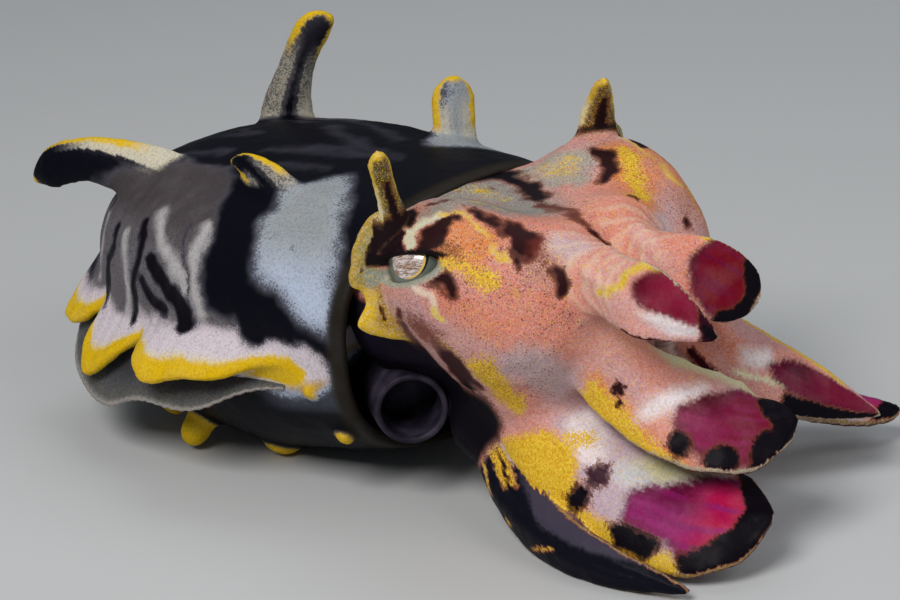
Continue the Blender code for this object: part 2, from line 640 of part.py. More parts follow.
def flank_flap(name, side):
    """Three fleshy lobes along the side, each one longest towards the tail."""
    along, reach = [], []
    for first, last in zip(FLANK_BREAKS, FLANK_BREAKS[1:]):
        share = np.linspace(0, 1, FLANK_ROWS)[: FLANK_ROWS - (last != FLANK_BREAKS[-1])]
        rise = np.sin(np.pi / 2 * np.clip(share / FLANK_TIP, 0, 1))
        fall = np.sqrt(np.clip((1 - share) / (1 - FLANK_TIP), 0, 1))
        along.append(first + (last - first) * share)
        reach.append(FLANK_REACH[0] + (FLANK_REACH[1] - FLANK_REACH[0]) * rise * fall)
    s, reach = np.concatenate(along), np.concatenate(reach)
    degrees = smooth_through(FLANK_ANGLES, (s - s[0]) / (s[-1] - s[0]))
    across = np.linspace(0, 1, 4)
    grid = flank_grid(side, s, degrees, reach, across)
    thickness = FLANK_THICKNESS[0] + (FLANK_THICKNESS[1] - FLANK_THICKNESS[0]) * across
    return outward(make_object(name, *sheet_solid(grid, thickness[None, :])))


def fin(name, side):
    """A thin membrane that waves along the mantle below the lobes."""
    t = np.linspace(0, 1, FIN_ROWS)
    s = FIN_SPAN[0] + (FIN_SPAN[1] - FIN_SPAN[0]) * t
    across = np.linspace(0, 1, 4)
    grid = flank_grid(side, s, smooth_through(FIN_ANGLES, t), smooth_through(FIN_REACH, t), across)
    grid[..., 2] += np.sin(2 * np.pi * FIN_WAVES * t)[:, None] * across**1.5 * FIN_WAVE_HEIGHT
    thickness = FIN_THICKNESS[0] + (FIN_THICKNESS[1] - FIN_THICKNESS[0]) * across
    return outward(make_object(name, *sheet_solid(grid, thickness[None, :])))


def tube_rings(path, radii, count, sides):
    """Round sections along a smooth path, with the path's middle points and directions."""
    t = np.linspace(0, 1, count)
    middle = smooth_through(path, t)
    radius = smooth_through(radii, t)
    ahead = unit(np.gradient(middle, axis=0))
    across = unit(np.cross(ahead, (0, 0, 1)))
    up = np.cross(across, ahead)
    turn = np.linspace(0, 2 * np.pi, sides, endpoint=False)
    circle = np.cos(turn)[None, :, None] * across[:, None] + np.sin(turn)[None, :, None] * up[:, None]
    return middle[:, None] + circle * radius[:, None, None], middle, ahead


def funnel(name):
    """A bent tube that narrows to its mouth, bored from there."""
    rings, middle, ahead = tube_rings(FUNNEL_PATH, FUNNEL_RADII, FUNNEL_RINGS, FUNNEL_SIDES)
    body = outward(make_object(name, *closed_loft(rings)))
    reaches = (-FUNNEL_BORE_DEPTH, -FUNNEL_BORE_DEPTH / 2, FUNNEL_BORE_CLEAR)
    bore_path = [middle[-1] + ahead[-1] * reach for reach in reaches]
    bore_rings, _, _ = tube_rings(bore_path, FUNNEL_BORE_RADII, 5, FUNNEL_SIDES)
    return combine(body, [outward(make_object("bore", *closed_loft(bore_rings)))], "DIFFERENCE")


def mouth(name):
    """A low dome of folded lips round the tip of the beak."""
    centre = np.array(MOUTH_CENTRE)
    turn = np.linspace(0, 2 * np.pi, MOUTH_FOLDS * 4, endpoint=False)
    fold = 1 + MOUTH_FOLD_DEPTH * np.cos(turn * MOUTH_FOLDS)
    rings = []
    for place, size in MOUTH_RINGS:
        x = np.cos(turn) * MOUTH_RADIUS * size * fold
        z = np.sin(turn) * MOUTH_RADIUS * size * fold
        rings.append(centre + np.stack([x, np.full_like(x, place), z], axis=1))
    return outward(make_object(name, *closed_loft(rings)))


def belly_lobe(s, degrees, length, radius):
    """One fleshy lobe that hangs from the belly."""
    root = mantle_point(s, degrees, lift=-radius)
    out = unit(mantle_point(s, degrees, lift=1) - mantle_point(s, degrees))
    way = unit(out + [0, 0.2, -0.3])
    rings, _, _ = tube_rings([root, root + way * (length + radius) * 0.6, root + way * (length + radius)],
                             [radius, radius * 0.95, radius * 0.5], 4, 8)
    rings[..., 2] = np.maximum(rings[..., 2], 0.25)
    return outward(make_object("belly_lobe", *closed_loft(rings)))


def material(name, colour, roughness=0.5):
    made = bpy.data.materials.new(name)
    made.use_nodes = True
    shader = made.node_tree.nodes["Principled BSDF"]
    shader.inputs["Base Color"].default_value = (*colour, 1)
    shader.inputs["Roughness"].default_value = roughness
    return made


COLOURS = {
    "mantle": (0.035, 0.035, 0.055),
    "head": (0.62, 0.24, 0.16),
    "eye": (0.55, 0.42, 0.22),
    "arm": (0.60, 0.22, 0.20),
    "funnel": (0.10, 0.09, 0.13),
    "fin": (0.30, 0.29, 0.32),
    "flank": (0.70, 0.52, 0.08),
    "papilla": (0.55, 0.42, 0.08),
    "brow": (0.45, 0.30, 0.08),
    "cheek": (0.65, 0.45, 0.06),
    "mouth": (0.35, 0.20, 0.16),
}


def centre_on_floor():
    """Moves the whole so that the middle of its outline is at x = y = 0 and it stands on z = 0."""
    points = np.array([v.co for obj in bpy.data.objects for v in obj.data.vertices])
    low, high = points.min(axis=0), points.max(axis=0)
    shift = np.array([-(low[0] + high[0]) / 2, -(low[1] + high[1]) / 2, -low[2]])
    for obj in bpy.data.objects:
        for vert in obj.data.vertices:
            vert.co = vert.co + Vector(shift)


def build():
    for old in list(bpy.data.objects):
        bpy.data.objects.remove(old)

    barrel = mantle("mantle")
    skull = head("head")
    arms = {name: blade(name, shape) for name, shape in ARMS.items()}

    for side, word in ((-1, "right"), (1, "left")):
        combine(skull, [eye_window(side)], "DIFFERENCE")
        combine(skull, [eyelids(side)], "UNION")
        eye = ball("eye_" + word, mirrored(side, EYE_CENTRE), EYE_RADIUS)
        combine(skull, [grown(eye, GAP, keep=True)], "DIFFERENCE")
    combine(skull, [mantle("grown", GAP)], "DIFFERENCE")

    lips = mouth("mouth")
    combine(lips, [head("grown", GAP)], "DIFFERENCE")
    for name, arm in arms.items():
        combine(arm, suckers(ARMS[name]), "UNION")
        combine(arm, [head("grown", GAP), grown(lips, GAP, keep=True)], "DIFFERENCE")
    order = list(arms)
    for i, name in enumerate(order[1:]):
        combine(arms[name], [grown(blade("grown", ARMS[earlier]), GAP) for earlier in order[: i + 1]], "DIFFERENCE")

    for name, shape in PAPILLAE.items():
        leaf = blade(name, shape, PAPILLA_ROWS, PAPILLA_COLUMNS)
        lids = [grown(eyelids(side), GAP) for side in (-1, 1)]
        combine(leaf, [head("grown", GAP), mantle("grown", GAP)] + lids, "DIFFERENCE")
    for side, word in ((-1, "right"), (1, "left")):
        flap = cheek_flap("cheek_flap_" + word, side)
        brow = grown(blade("grown", PAPILLAE["brow_papilla_" + word], PAPILLA_ROWS, PAPILLA_COLUMNS), GAP)
        lids = grown(eyelids(side), GAP)
        combine(flap, [head("grown", GAP), mantle("grown", GAP), brow, lids], "DIFFERENCE")
        lobes = flank_flap("flank_flap_" + word, side)
        combine(lobes, [mantle("grown", GAP)], "DIFFERENCE")
        membrane = fin("fin_" + word, side)
        combine(membrane, [mantle("grown", GAP), grown(lobes, GAP, keep=True)], "DIFFERENCE")
    tube = funnel("funnel")
    combine(tube, [head("grown", GAP), mantle("grown", GAP)], "DIFFERENCE")
    combine(tube, [grown(blade("grown", ARMS["arm_4_right"]), GAP)], "DIFFERENCE")

    lobes = []
    for s, degrees, length, radius in BELLY_LOBES:
        lobes.append(belly_lobe(s, degrees, length, radius))
        lobes.append(belly_lobe(s, 540 - degrees, length, radius))
    combine(barrel, lobes, "UNION")

    centre_on_floor()
    made = {key: material(key, colour) for key, colour in COLOURS.items()}
    for obj in bpy.data.objects:
        obj.data.materials.clear()
        obj.data.materials.append(made[obj.name.split("_")[0]])
        obj.data.shade_smooth()


build()
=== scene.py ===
"""Flamboyant cuttlefish, life size, as a still museum model in a walking pose, its arms fanned out ahead.

Shapes are worked out in millimetres round a point on the floor below the middle between the eyes: the head
points along -Y, the animal's left is +X and up is +Z. Each finished piece is then moved onto the frame, in
metres.
"""

import itertools
import math

import bpy
import numpy as np
from mathutils import Matrix, Vector, kdtree


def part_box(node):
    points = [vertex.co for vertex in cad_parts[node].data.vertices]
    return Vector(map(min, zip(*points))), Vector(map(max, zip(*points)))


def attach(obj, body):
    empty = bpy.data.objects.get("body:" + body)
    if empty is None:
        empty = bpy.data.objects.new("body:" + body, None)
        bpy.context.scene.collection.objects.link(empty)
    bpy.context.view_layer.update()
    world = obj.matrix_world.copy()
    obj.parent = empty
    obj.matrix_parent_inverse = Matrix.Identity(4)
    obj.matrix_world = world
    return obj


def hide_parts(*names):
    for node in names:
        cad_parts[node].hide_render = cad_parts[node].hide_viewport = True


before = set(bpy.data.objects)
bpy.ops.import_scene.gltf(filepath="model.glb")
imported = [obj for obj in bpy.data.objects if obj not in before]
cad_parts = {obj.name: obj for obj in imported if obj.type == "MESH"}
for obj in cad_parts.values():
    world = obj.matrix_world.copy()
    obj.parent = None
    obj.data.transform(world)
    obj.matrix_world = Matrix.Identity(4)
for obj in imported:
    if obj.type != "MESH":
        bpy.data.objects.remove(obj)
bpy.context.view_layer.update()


# The body: a broad barrel of muscle with blue-black skin over a white mirror layer. Tall papillae stand on
# its back, three scalloped lobes run along each side, and small yellow lobes hang from the belly, all of
# the one skin.

MM = 0.001
SINK = 1.6  # how deep each raised form starts below the skin that it grows from
MANTLE_RIM_Y = 8.6
MANTLE_TAIL_Y = 57.0
MANTLE_LOBE = 0.6  # how far the rim reaches forward over the head in the middle of the back
MANTLE_NOTCH = 1.5  # how far the rim is cut back under the funnel
MANTLE_HALF_WIDTH = 20.3
MANTLE_BACK_HEIGHT = 14.6  # above the barrel's middle line
MANTLE_BELLY_DEPTH = 15.7  # below it
MANTLE_WIDEST = 0.38  # share of the length from the rim
MANTLE_SQUARENESS = 2.35
MANTLE_RIM_SHARE = 0.88  # size of the rim against the widest section
# Shares of the length, and heights of the middle line there
MANTLE_CENTRE = [(0.0, 16.4), (0.3, 14.9), (0.6, 14.8), (0.85, 15.6), (1.0, 16.6)]
MANTLE_FRONT_EASE = 1.6  # how slowly the barrel widens behind its rim
MANTLE_TAIL_ROUNDNESS = 2.15
MANTLE_RECESS = 6.0  # depth of the opening that the neck fills
MANTLE_WALL = 0.94  # inside of the rim against its outside
MANTLE_RECESS_WALL = 0.8742  # the opening's size at its bottom
MANTLE_STEP = 1.5  # degrees between the points of a ring
MANTLE_RINGS = 120
MANTLE_LENGTH = 49.0  # about the barrel's length, for its marks and crinkles
MANTLE_DEGREE = 0.31  # length of one degree round the barrel

# Each papilla at even steps from root to tip: its middle line, the way its face looks, its width, its
# thickness in the middle, and how far its sides bend back
PAPILLAE = {
    "rear_right": dict(
        path=[(-7.6, 37, 22), (-10.2, 44, 25.4), (-12.2, 51, 27), (-13.8, 56.6, 25.8), (-14.2, 59, 23.8)],
        face=[(-0.9, 0.2, 0.5)] * 5,
        width=[10, 7, 4.8, 5, 3.4],
        depth=[3.5, 2.2, 1.6, 1.4, 1],
        cup=[0.3, 0.4, 0.5, 0.6, 0.4],
    ),
    "rear_left": dict(
        path=[(9, 44.3, 21), (9.5, 45, 27), (10.5, 43.9, 32), (11.6, 42, 36), (13.2, 40.5, 37.5)],
        face=[(-0.5, -0.7, 0)] * 5,
        width=[10, 5.8, 3.8, 3.8, 3.2],
        depth=[3, 2, 1.5, 1.3, 1],
        cup=[0.3, 0.4, 0.5, 0.6, 0.4],
    ),
    "middle_right": dict(
        path=[(-10, 22, 25), (-10.3, 25, 28.2), (-10.2, 28.5, 29.8), (-9.9, 31.5, 29.6)],
        face=[(-0.9, 0, 0.5)] * 4,
        width=[6, 4.5, 2.6, 1.6],
        depth=[2.4, 1.8, 1.2, 0.9],
        cup=[0.2, 0.2, 0.2, 0.1],
    ),
    "middle_left": dict(
        path=[(10.7, 21, 25), (11, 21, 29), (11.6, 21.4, 32), (12.2, 21.8, 34.2)],
        face=[(-0.5, -0.8, 0)] * 4,
        width=[6, 4.6, 4.4, 3.6],
        depth=[2.4, 1.6, 1.3, 1],
        cup=[0.2, 0.3, 0.4, 0.4],
    ),
}
BLADE_EDGE = 0.7  # thickness of a leaf at its sides
BLADE_TIP = 0.3  # share of a leaf's length that narrows to its rounded tip

FLANK_BREAKS = [0.12, 0.54, 0.77, 0.96]  # where the lobes begin and end, as shares along the barrel
FLANK_ANGLES = [180.0, 176.5, 184.5, 183.0]  # degrees round the barrel, 180 at the right side
FLANK_REACH = (0.3, 5.4)  # between the lobes and at their tips
FLANK_TIP = 0.74  # where a lobe is longest, as a share of its own length
FLANK_THICKNESS = (2.6, 0.7)  # at the root and at the edge
FLANK_SLOPE = (0, 0.3, -0.5)  # added to the way out from the barrel
FLANK_DROOP = 0.04  # fall in millimetres for each square millimetre of reach
BELLY_LOBES = [  # share along the barrel, degrees round it, length and radius
    (0.5, 222, 3.6, 1.6),
    (0.33, 236, 1.4, 2.2),
    (0.64, 228, 2.4, 1.6),
    (0.05, 214, 1.2, 1.1),
    (0.08, 190, 1.1, 1.1),
]

BODY_CELL = 0.328  # size of the body skin's faces


def smooth_through(values, at):
    """Reads a smooth curve through evenly spaced values, or points, at shares of its length."""
    values = np.asarray(values, float)
    if values.ndim == 1:
        values = values[:, None]
    knots = np.linspace(0, 1, len(values))
    slopes = np.gradient(values, knots, axis=0)
    at = np.clip(np.atleast_1d(np.asarray(at, float)), 0, 1)
    left = np.clip(np.searchsorted(knots, at) - 1, 0, len(knots) - 2)
    span = knots[1]
    u = ((at - knots[left]) / span)[:, None]
    read = (
        (2 * u**3 - 3 * u**2 + 1) * values[left]
        + (u**3 - 2 * u**2 + u) * span * slopes[left]
        + (3 * u**2 - 2 * u**3) * values[left + 1]
        + (u**3 - u**2) * span * slopes[left + 1]
    )
    return read[:, 0] if read.shape[1] == 1 else read


def unit(vectors):
    """The same directions at length 1."""
    vectors = np.asarray(vectors, float)
    return vectors / np.maximum(np.linalg.norm(vectors, axis=-1, keepdims=True), 1e-9)


def new_piece(name, points, faces):
    """A mesh object whose points are still in millimetres."""
    mesh = bpy.data.meshes.new(name)
    mesh.from_pydata(np.asarray(points, float).reshape(-1, 3).tolist(), [], faces)
    piece = bpy.data.objects.new(name, mesh)
    bpy.context.scene.collection.objects.link(piece)
    return piece


def select_only(pieces):
    """Selects these objects alone, for the operator that follows."""
    bpy.ops.object.select_all(action="DESELECT")
    for piece in pieces:
        piece.select_set(True)
    bpy.context.view_layer.objects.active = pieces[0]


def outward(piece):
    """Turns every face of a closed surface outward."""
    select_only([piece])
    bpy.ops.object.mode_set(mode="EDIT")
    bpy.ops.mesh.select_all(action="SELECT")
    bpy.ops.mesh.normals_make_consistent(inside=False)
    bpy.ops.object.mode_set(mode="OBJECT")
    return piece


def closed_loft(name, rings):
    """A closed surface through rings of equally many points, with a fan of faces at each end."""
    rings = np.asarray(rings, float)
    count, sides = rings.shape[:2]
    points = np.concatenate([rings.reshape(-1, 3), [rings[0].mean(0)], [rings[-1].mean(0)]])
    faces = []
    for i, j in itertools.product(range(count - 1), range(sides)):
        k = (j + 1) % sides
        faces.append((i * sides + j, i * sides + k, (i + 1) * sides + k, (i + 1) * sides + j))
    for j in range(sides):
        k = (j + 1) % sides
        faces.append((count * sides, k, j))
        faces.append((count * sides + 1, (count - 1) * sides + j, (count - 1) * sides + k))
    return outward(new_piece(name, points, faces))


def thick_sheet(name, middle, thickness, normal=None):
    """A thin closed solid on both sides of a grid of points."""
    middle = np.asarray(middle, float)
    rows, columns = middle.shape[:2]
    if normal is None:
        normal = unit(np.cross(np.gradient(middle, axis=0), np.gradient(middle, axis=1)))
    half = np.broadcast_to(thickness, (rows, columns))[..., None] / 2
    points = np.concatenate([(middle + normal * half * face).reshape(-1, 3) for face in (1, -1)])
    under = rows * columns
    faces = []
    for i, j in itertools.product(range(rows - 1), range(columns - 1)):
        a = i * columns + j
        faces.append((a, a + columns, a + columns + 1, a + 1))
        faces.append((under + a, under + a + 1, under + a + columns + 1, under + a + columns))
    border = list(range(columns - 1))
    border += [i * columns + columns - 1 for i in range(rows - 1)]
    border += [(rows - 1) * columns + j for j in range(columns - 1, 0, -1)]
    border += [i * columns for i in range(rows - 1, 0, -1)]
    for a, b in zip(border, border[1:] + border[:1]):
        faces.append((a, b, under + b, under + a))
    return outward(new_piece(name, points, faces))


def drift(points, size, seed=0.0):
    """Smooth random values from -1 to 1, with features of about that size in millimetres."""
    place = np.asarray(points, float) / size + seed * 19.7
    cell = np.floor(place)
    share = place - cell
    share = share * share * (3 - 2 * share)
    total = np.zeros(len(place))
    for corner in itertools.product((0, 1), repeat=place.shape[1]):
        corner = np.array(corner, float)
        weight = np.prod(np.where(corner > 0, share, 1 - share), axis=1)
        mixed = np.sin((cell + corner) @ np.array([127.1, 311.7, 74.7][: len(corner)])) * 43758.5453
        total += weight * ((mixed - np.floor(mixed)) * 2 - 1)
    return total


def scatter(points, size, seed, axes=3):
    """A smooth random shift of each point along two or three axes, with features of about that size."""
    return np.stack([drift(points, size, seed + axis) for axis in range(axes)], 1)


def mantle_profile(s):
    """Size of the barrel's section against the widest one, at shares s of its length."""
    front = 1 - (1 - MANTLE_RIM_SHARE) * np.clip(1 - s / MANTLE_WIDEST, 0, 1) ** MANTLE_FRONT_EASE
    back = np.clip((s - MANTLE_WIDEST) / (1 - MANTLE_WIDEST), 0, 1)
    return front * np.clip(1 - back**MANTLE_TAIL_ROUNDNESS, 0, 1) ** (1 / MANTLE_TAIL_ROUNDNESS)


def mantle_rim(sin):
    """How far forward the rim lies, from the sine of the angle round the barrel."""
    return MANTLE_RIM_Y - MANTLE_LOBE * np.clip(sin, 0, 1) ** 3 + MANTLE_NOTCH * np.clip(-sin, 0, 1) ** 2


def mantle_middle(s):
    """Height of the barrel's middle line."""
    knots, centres = np.array(MANTLE_CENTRE).T
    return np.interp(s, knots, centres)


def mantle_point(s, degrees, lift=0.0, shrink=1.0):
    """A point of the barrel's surface, at a share of its length and an angle round it (90 is the back)."""
    s, degrees = np.broadcast_arrays(np.asarray(s, float), np.asarray(degrees, float))
    cos, sin = np.cos(np.radians(degrees)), np.sin(np.radians(degrees))
    size = mantle_profile(s) * shrink
    wide = np.sign(cos) * np.abs(cos) ** (2 / MANTLE_SQUARENESS)
    high = np.sign(sin) * np.abs(sin) ** (2 / MANTLE_SQUARENESS)
    height = np.where(high > 0, MANTLE_BACK_HEIGHT, MANTLE_BELLY_DEPTH)
    x = (MANTLE_HALF_WIDTH * size + lift) * wide
    y = mantle_rim(sin) + s * (MANTLE_TAIL_Y - mantle_rim(sin))
    z = mantle_middle(s) + (height * size + lift) * high
    return np.stack([x, y, np.maximum(z, 0.0)], axis=-1)


def other_side(degrees):
    """The angle of the same place on the animal's other side."""
    return 540 - degrees


def mantle_place(points):
    """The share along the barrel, the angle round it folded onto the right side, and the height above it."""
    x, y, z = points.T
    s = np.clip((y - MANTLE_RIM_Y) / (MANTLE_TAIL_Y - MANTLE_RIM_Y), 0, 0.999)
    for _ in range(3):
        size = np.maximum(mantle_profile(s), 0.05)
        wide = -np.abs(x) / (MANTLE_HALF_WIDTH * size)
        high = z - mantle_middle(s)
        high = high / (np.where(high > 0, MANTLE_BACK_HEIGHT, MANTLE_BELLY_DEPTH) * size)
        power = MANTLE_SQUARENESS / 2
        angle = np.arctan2(np.sign(high) * np.abs(high) ** power, -np.abs(wide) ** power)
        rim = mantle_rim(np.sin(angle))
        s = np.clip((y - rim) / (MANTLE_TAIL_Y - rim), 0, 0.999)
    reach = (np.abs(wide) ** MANTLE_SQUARENESS + np.abs(high) ** MANTLE_SQUARENESS) ** (1 / MANTLE_SQUARENESS)
    return s, np.degrees(angle) % 360, (reach - 1) * MANTLE_BACK_HEIGHT * size


def mantle():
    """The barrel, open at its free rim, where the wall is rounded and thin."""
    around = np.arange(0, 360, MANTLE_STEP)
    inside = mantle_point(0, around, shrink=MANTLE_WALL)
    bottom = mantle_point(0, around, shrink=MANTLE_RECESS_WALL)
    rings = [
        mantle_point(0, around, shrink=0.5) + [0, MANTLE_RECESS, 0],
        bottom + [0, MANTLE_RECESS, 0],
        (inside + bottom) / 2 + [0, MANTLE_RECESS / 2, 0],
        inside + [0, 0.3, 0],
        mantle_point(0, around, shrink=(1 + MANTLE_WALL) / 2) - [0, 0.1, 0],
    ]
    for share in np.linspace(0, 1, MANTLE_RINGS):
        s = min(np.sin(share * np.pi / 2) ** 1.15, 0.9992)
        rings.append(mantle_point(s, around))
    return closed_loft("mantle", rings)


def blade_grid(shape, t, v):
    """Middle points, thickness and normals of a leaf that is cupped, rounded at its tip and ruffled there."""
    middle = smooth_through(shape["path"], t)
    ahead = unit(np.gradient(smooth_through(shape["path"], np.linspace(0, 1, 200)), axis=0))
    ahead = ahead[np.clip((np.asarray(t) * 199).round().astype(int), 0, 199)]
    normal = smooth_through(shape["face"], t)
    normal = unit(normal - ahead * np.sum(normal * ahead, axis=1, keepdims=True))
    side = np.cross(ahead, normal)
    width, depth, cup = (smooth_through(shape[key], t) for key in ("width", "depth", "cup"))
    tip = np.clip((t - 1 + BLADE_TIP) / BLADE_TIP, 0, 1)
    rounding = np.sqrt(np.clip(1 - tip**2, 0.03, 1))
    half = (width / 2 * rounding)[:, None, None]
    t, v = np.asarray(t)[:, None], np.asarray(v)[None, :]
    points = middle[:, None] + side[:, None] * half * v[..., None]
    points = points - normal[:, None] * (cup * rounding)[:, None, None] * v[..., None] ** 2
    thickness = BLADE_EDGE + (depth - BLADE_EDGE)[:, None] * (1 - v**2)
    normals = np.broadcast_to(normal[:, None], points.shape)
    ruffle = shape.get("ruffle", 0) * np.sin(t * shape.get("waves", 0) + v * 1.3)
    ruffle = ruffle * np.abs(v) ** 3 * np.clip(tip + 0.4, 0, 1)[:, None]
    points = points + normals * ruffle[..., None]
    points[..., 2] = np.maximum(points[..., 2], 0)
    return points, thickness, normals


def leaf_steps(rows, columns):
    """Shares along and across a leaf, closer together towards its tip and its sides."""
    t = 1 - (1 - np.linspace(0, 1, rows)) ** 1.3
    v = np.sin(np.linspace(-np.pi / 2, np.pi / 2, columns) * 0.98)
    return t, v / v[-1]


def blade(name, shape, rows=90, columns=40):
    """A closed leaf-shaped solid, thick along its middle and thin along its sides."""
    return thick_sheet(name, *blade_grid(shape, *leaf_steps(rows, columns)))


def flank_grid(side, s, degrees, reach, across):
    """Middle points of a flap that grows from the barrel's side and droops as it reaches out."""
    degrees = degrees if side < 0 else other_side(degrees)
    root = mantle_point(s, degrees, lift=-SINK)
    out = unit(mantle_point(s, degrees, lift=1) - mantle_point(s, degrees))
    distance = across[None, :] * (reach + SINK)[:, None]
    grid = root[:, None] + unit(out + FLANK_SLOPE)[:, None] * distance[..., None]
    grid[..., 2] -= FLANK_DROOP * distance**2
    return grid


def flank_lobes(side, rows=60, columns=24):
    """Grid and thickness of three fleshy lobes with crinkled edges, each one longest towards the tail."""
    along, reach = [], []
    for first, last in zip(FLANK_BREAKS, FLANK_BREAKS[1:]):
        share = np.linspace(0, 1, rows)[: rows - (last != FLANK_BREAKS[-1])]
        rise = np.sin(np.pi / 2 * np.clip(share / FLANK_TIP, 0, 1))
        fall = np.sqrt(np.clip((1 - share) / (1 - FLANK_TIP), 0, 1))
        along.append(first + (last - first) * share)
        reach.append(FLANK_REACH[0] + (FLANK_REACH[1] - FLANK_REACH[0]) * rise * fall)
    s, reach = np.concatenate(along), np.concatenate(reach)
    crinkle = drift(np.stack([s * MANTLE_LENGTH, s * 0 + side], 1), 1.1)
    reach = reach * (1 + 0.02 * crinkle)
    degrees = smooth_through(FLANK_ANGLES, (s - s[0]) / (s[-1] - s[0]))
    across = np.linspace(0, 1, columns)
    grid = flank_grid(side, s, degrees, reach, across)
    wave = np.sin(s * MANTLE_LENGTH * 0.9) * 0.3 + crinkle * 0.08
    grid[..., 2] += wave[:, None] * across**2
    thickness = FLANK_THICKNESS[0] + (FLANK_THICKNESS[1] - FLANK_THICKNESS[0]) * across
    bead = 0.25 * np.exp(-(((across - 0.9) / 0.09) ** 2))
    return s, across, grid, (thickness + bead)[None, :]


def tube_rings(path, radii, count, sides):
    """Round sections along a smooth path."""
    t = np.linspace(0, 1, count)
    middle = smooth_through(path, t)
    ahead = unit(np.gradient(middle, axis=0))
    across = unit(np.cross(ahead, (0, 0, 1)))
    up = np.cross(across, ahead)
    turn = np.linspace(0, 2 * np.pi, sides, endpoint=False)
    circle = np.cos(turn)[None, :, None] * across[:, None] + np.sin(turn)[None, :, None] * up[:, None]
    return middle[:, None] + circle * smooth_through(radii, t)[:, None, None]


def belly_lobe(s, degrees, length, radius):
    """One fleshy lobe with a rounded end, hanging from the belly."""
    root = mantle_point(s, degrees, lift=-radius)
    out = unit(mantle_point(s, degrees, lift=1) - mantle_point(s, degrees))
    way = unit(out + [0, 0.2, -0.3]) * (length + radius)
    rings = tube_rings([root, root + way * 0.5, root + way], [radius, radius, radius * 0.9], 24, 30)
    share = np.clip((np.linspace(0, 1, 24) - 0.7) / 0.3, 0, 1)
    middle = rings.mean(axis=1, keepdims=True)
    rings = middle + (rings - middle) * np.sqrt(np.clip(1 - share**2, 0.01, 1))[:, None, None]
    rings[..., 2] = np.maximum(rings[..., 2], 0.25)
    return closed_loft("belly_lobe", rings)


def one_skin(name, pieces, cell):
    """Joins overlapping solids into one closed skin of small even faces."""
    select_only(pieces)
    bpy.ops.object.join()
    skin = bpy.context.object
    skin.name = name
    skin.data.remesh_voxel_size = cell
    skin.data.remesh_voxel_adaptivity = 0
    bpy.ops.object.voxel_remesh()
    return skin


def points_of(piece):
    """The places of a mesh's points."""
    flat = np.empty(len(piece.data.vertices) * 3)
    piece.data.vertices.foreach_get("co", flat)
    return flat.reshape(-1, 3)


def set_points(piece, points):
    """Moves a mesh's points to new places."""
    piece.data.vertices.foreach_set("co", np.asarray(points, float).ravel())
    piece.data.update()


def normals_of(piece):
    """The outward direction at each of a mesh's points."""
    flat = np.empty(len(piece.data.vertices) * 3)
    piece.data.vertex_normals.foreach_get("vector", flat)
    return flat.reshape(-1, 3)


def relax(piece, weight, rounds):
    """Draws each point towards the middle of its neighbours, by its own weight from 0 to 1."""
    points = points_of(piece)
    flat = np.empty(len(piece.data.edges) * 2, int)
    piece.data.edges.foreach_get("vertices", flat)
    a, b = flat.reshape(-1, 2).T
    ends, others = np.concatenate([a, b]), np.concatenate([b, a])
    count = np.maximum(np.bincount(ends, minlength=len(points)), 1)[:, None]
    weight = np.broadcast_to(weight, len(points))[:, None]
    for _ in range(rounds):
        sums = [np.bincount(ends, points[others, axis], minlength=len(points)) for axis in range(3)]
        points += weight * (np.stack(sums, axis=1) / count - points)
    set_points(piece, points)


def raise_skin(piece, heights):
    """Moves each point out along its normal by its own height in millimetres."""
    set_points(piece, points_of(piece) + normals_of(piece) * np.asarray(heights)[:, None])


def leaf_samples(number, shape, rows, columns):
    """Points on both faces of a leaf, each with the leaf's number, place along and across, and its face."""
    t, v = leaf_steps(rows, columns)
    grid, thickness, normal = blade_grid(shape, t, v)
    points = [(grid + normal * face * thickness[..., None] / 2).reshape(-1, 3) for face in (-1, 1)]
    return np.concatenate(points), [(number, a, b, face) for face in (-1, 1) for a in t for b in v]


def sheet_samples(number, grid, along, across):
    """Middle points of a flap, each with the flap's number and its place along and across."""
    return grid.reshape(-1, 3), [(number, a, b, 0) for a in along for b in across]


def grown_from(points, forms):
    """For each point, the number of the nearest raised form, the place and face there, and the distance."""
    samples = np.concatenate([form[0] for form in forms])
    tree = kdtree.KDTree(len(samples))
    for i, sample in enumerate(samples):
        tree.insert(sample, i)
    tree.balance()
    found = [tree.find(point)[1:] for point in points]
    nearest, gap = np.array(found).T
    part, along, across, face = np.concatenate([form[1] for form in forms])[nearest.astype(int)].T
    return part, along, across, face, gap


def fade(values, start, end):
    """0 at start and 1 at end, with a smooth way between. Start may be the larger one."""
    share = np.clip((np.asarray(values, float) - start) / (end - start), 0, 1)
    return share * share * (3 - 2 * share)


def from_line(at, path):
    """Distance of each place to the line through the path's points."""
    path = np.asarray(path, float)
    if len(path) == 1:
        return np.linalg.norm(at - path[0], axis=1)
    nearest = np.full(len(at), np.inf)
    for a, b in zip(path, path[1:]):
        way = b - a
        share = np.clip((at - a) @ way / max(way @ way, 1e-9), 0, 1)
        nearest = np.minimum(nearest, np.linalg.norm(at - a - share[:, None] * way, axis=1))
    return nearest


def stroke(at, path, width, soft=0.5):
    """1 along a brush stroke of that width and 0 off it."""
    return fade(from_line(at, path), (width + soft) / 2, (width - soft) / 2)


def patch(at, outline, soft=0.8):
    """1 inside a closed outline in two dimensions and 0 outside."""
    outline = np.asarray(outline, float)
    inside = np.zeros(len(at), bool)
    for (ax, ay), (bx, by) in zip(outline, np.roll(outline, -1, axis=0)):
        crosses = (ay > at[:, 1]) != (by > at[:, 1])
        slope = (bx - ax) / (by - ay if abs(by - ay) > 1e-9 else 1e-9)
        inside ^= crosses & (at[:, 0] < ax + (at[:, 1] - ay) * slope)
    distance = from_line(at, np.concatenate([outline, outline[:1]]))
    return fade(np.where(inside, distance, -distance), -soft / 2, soft / 2)


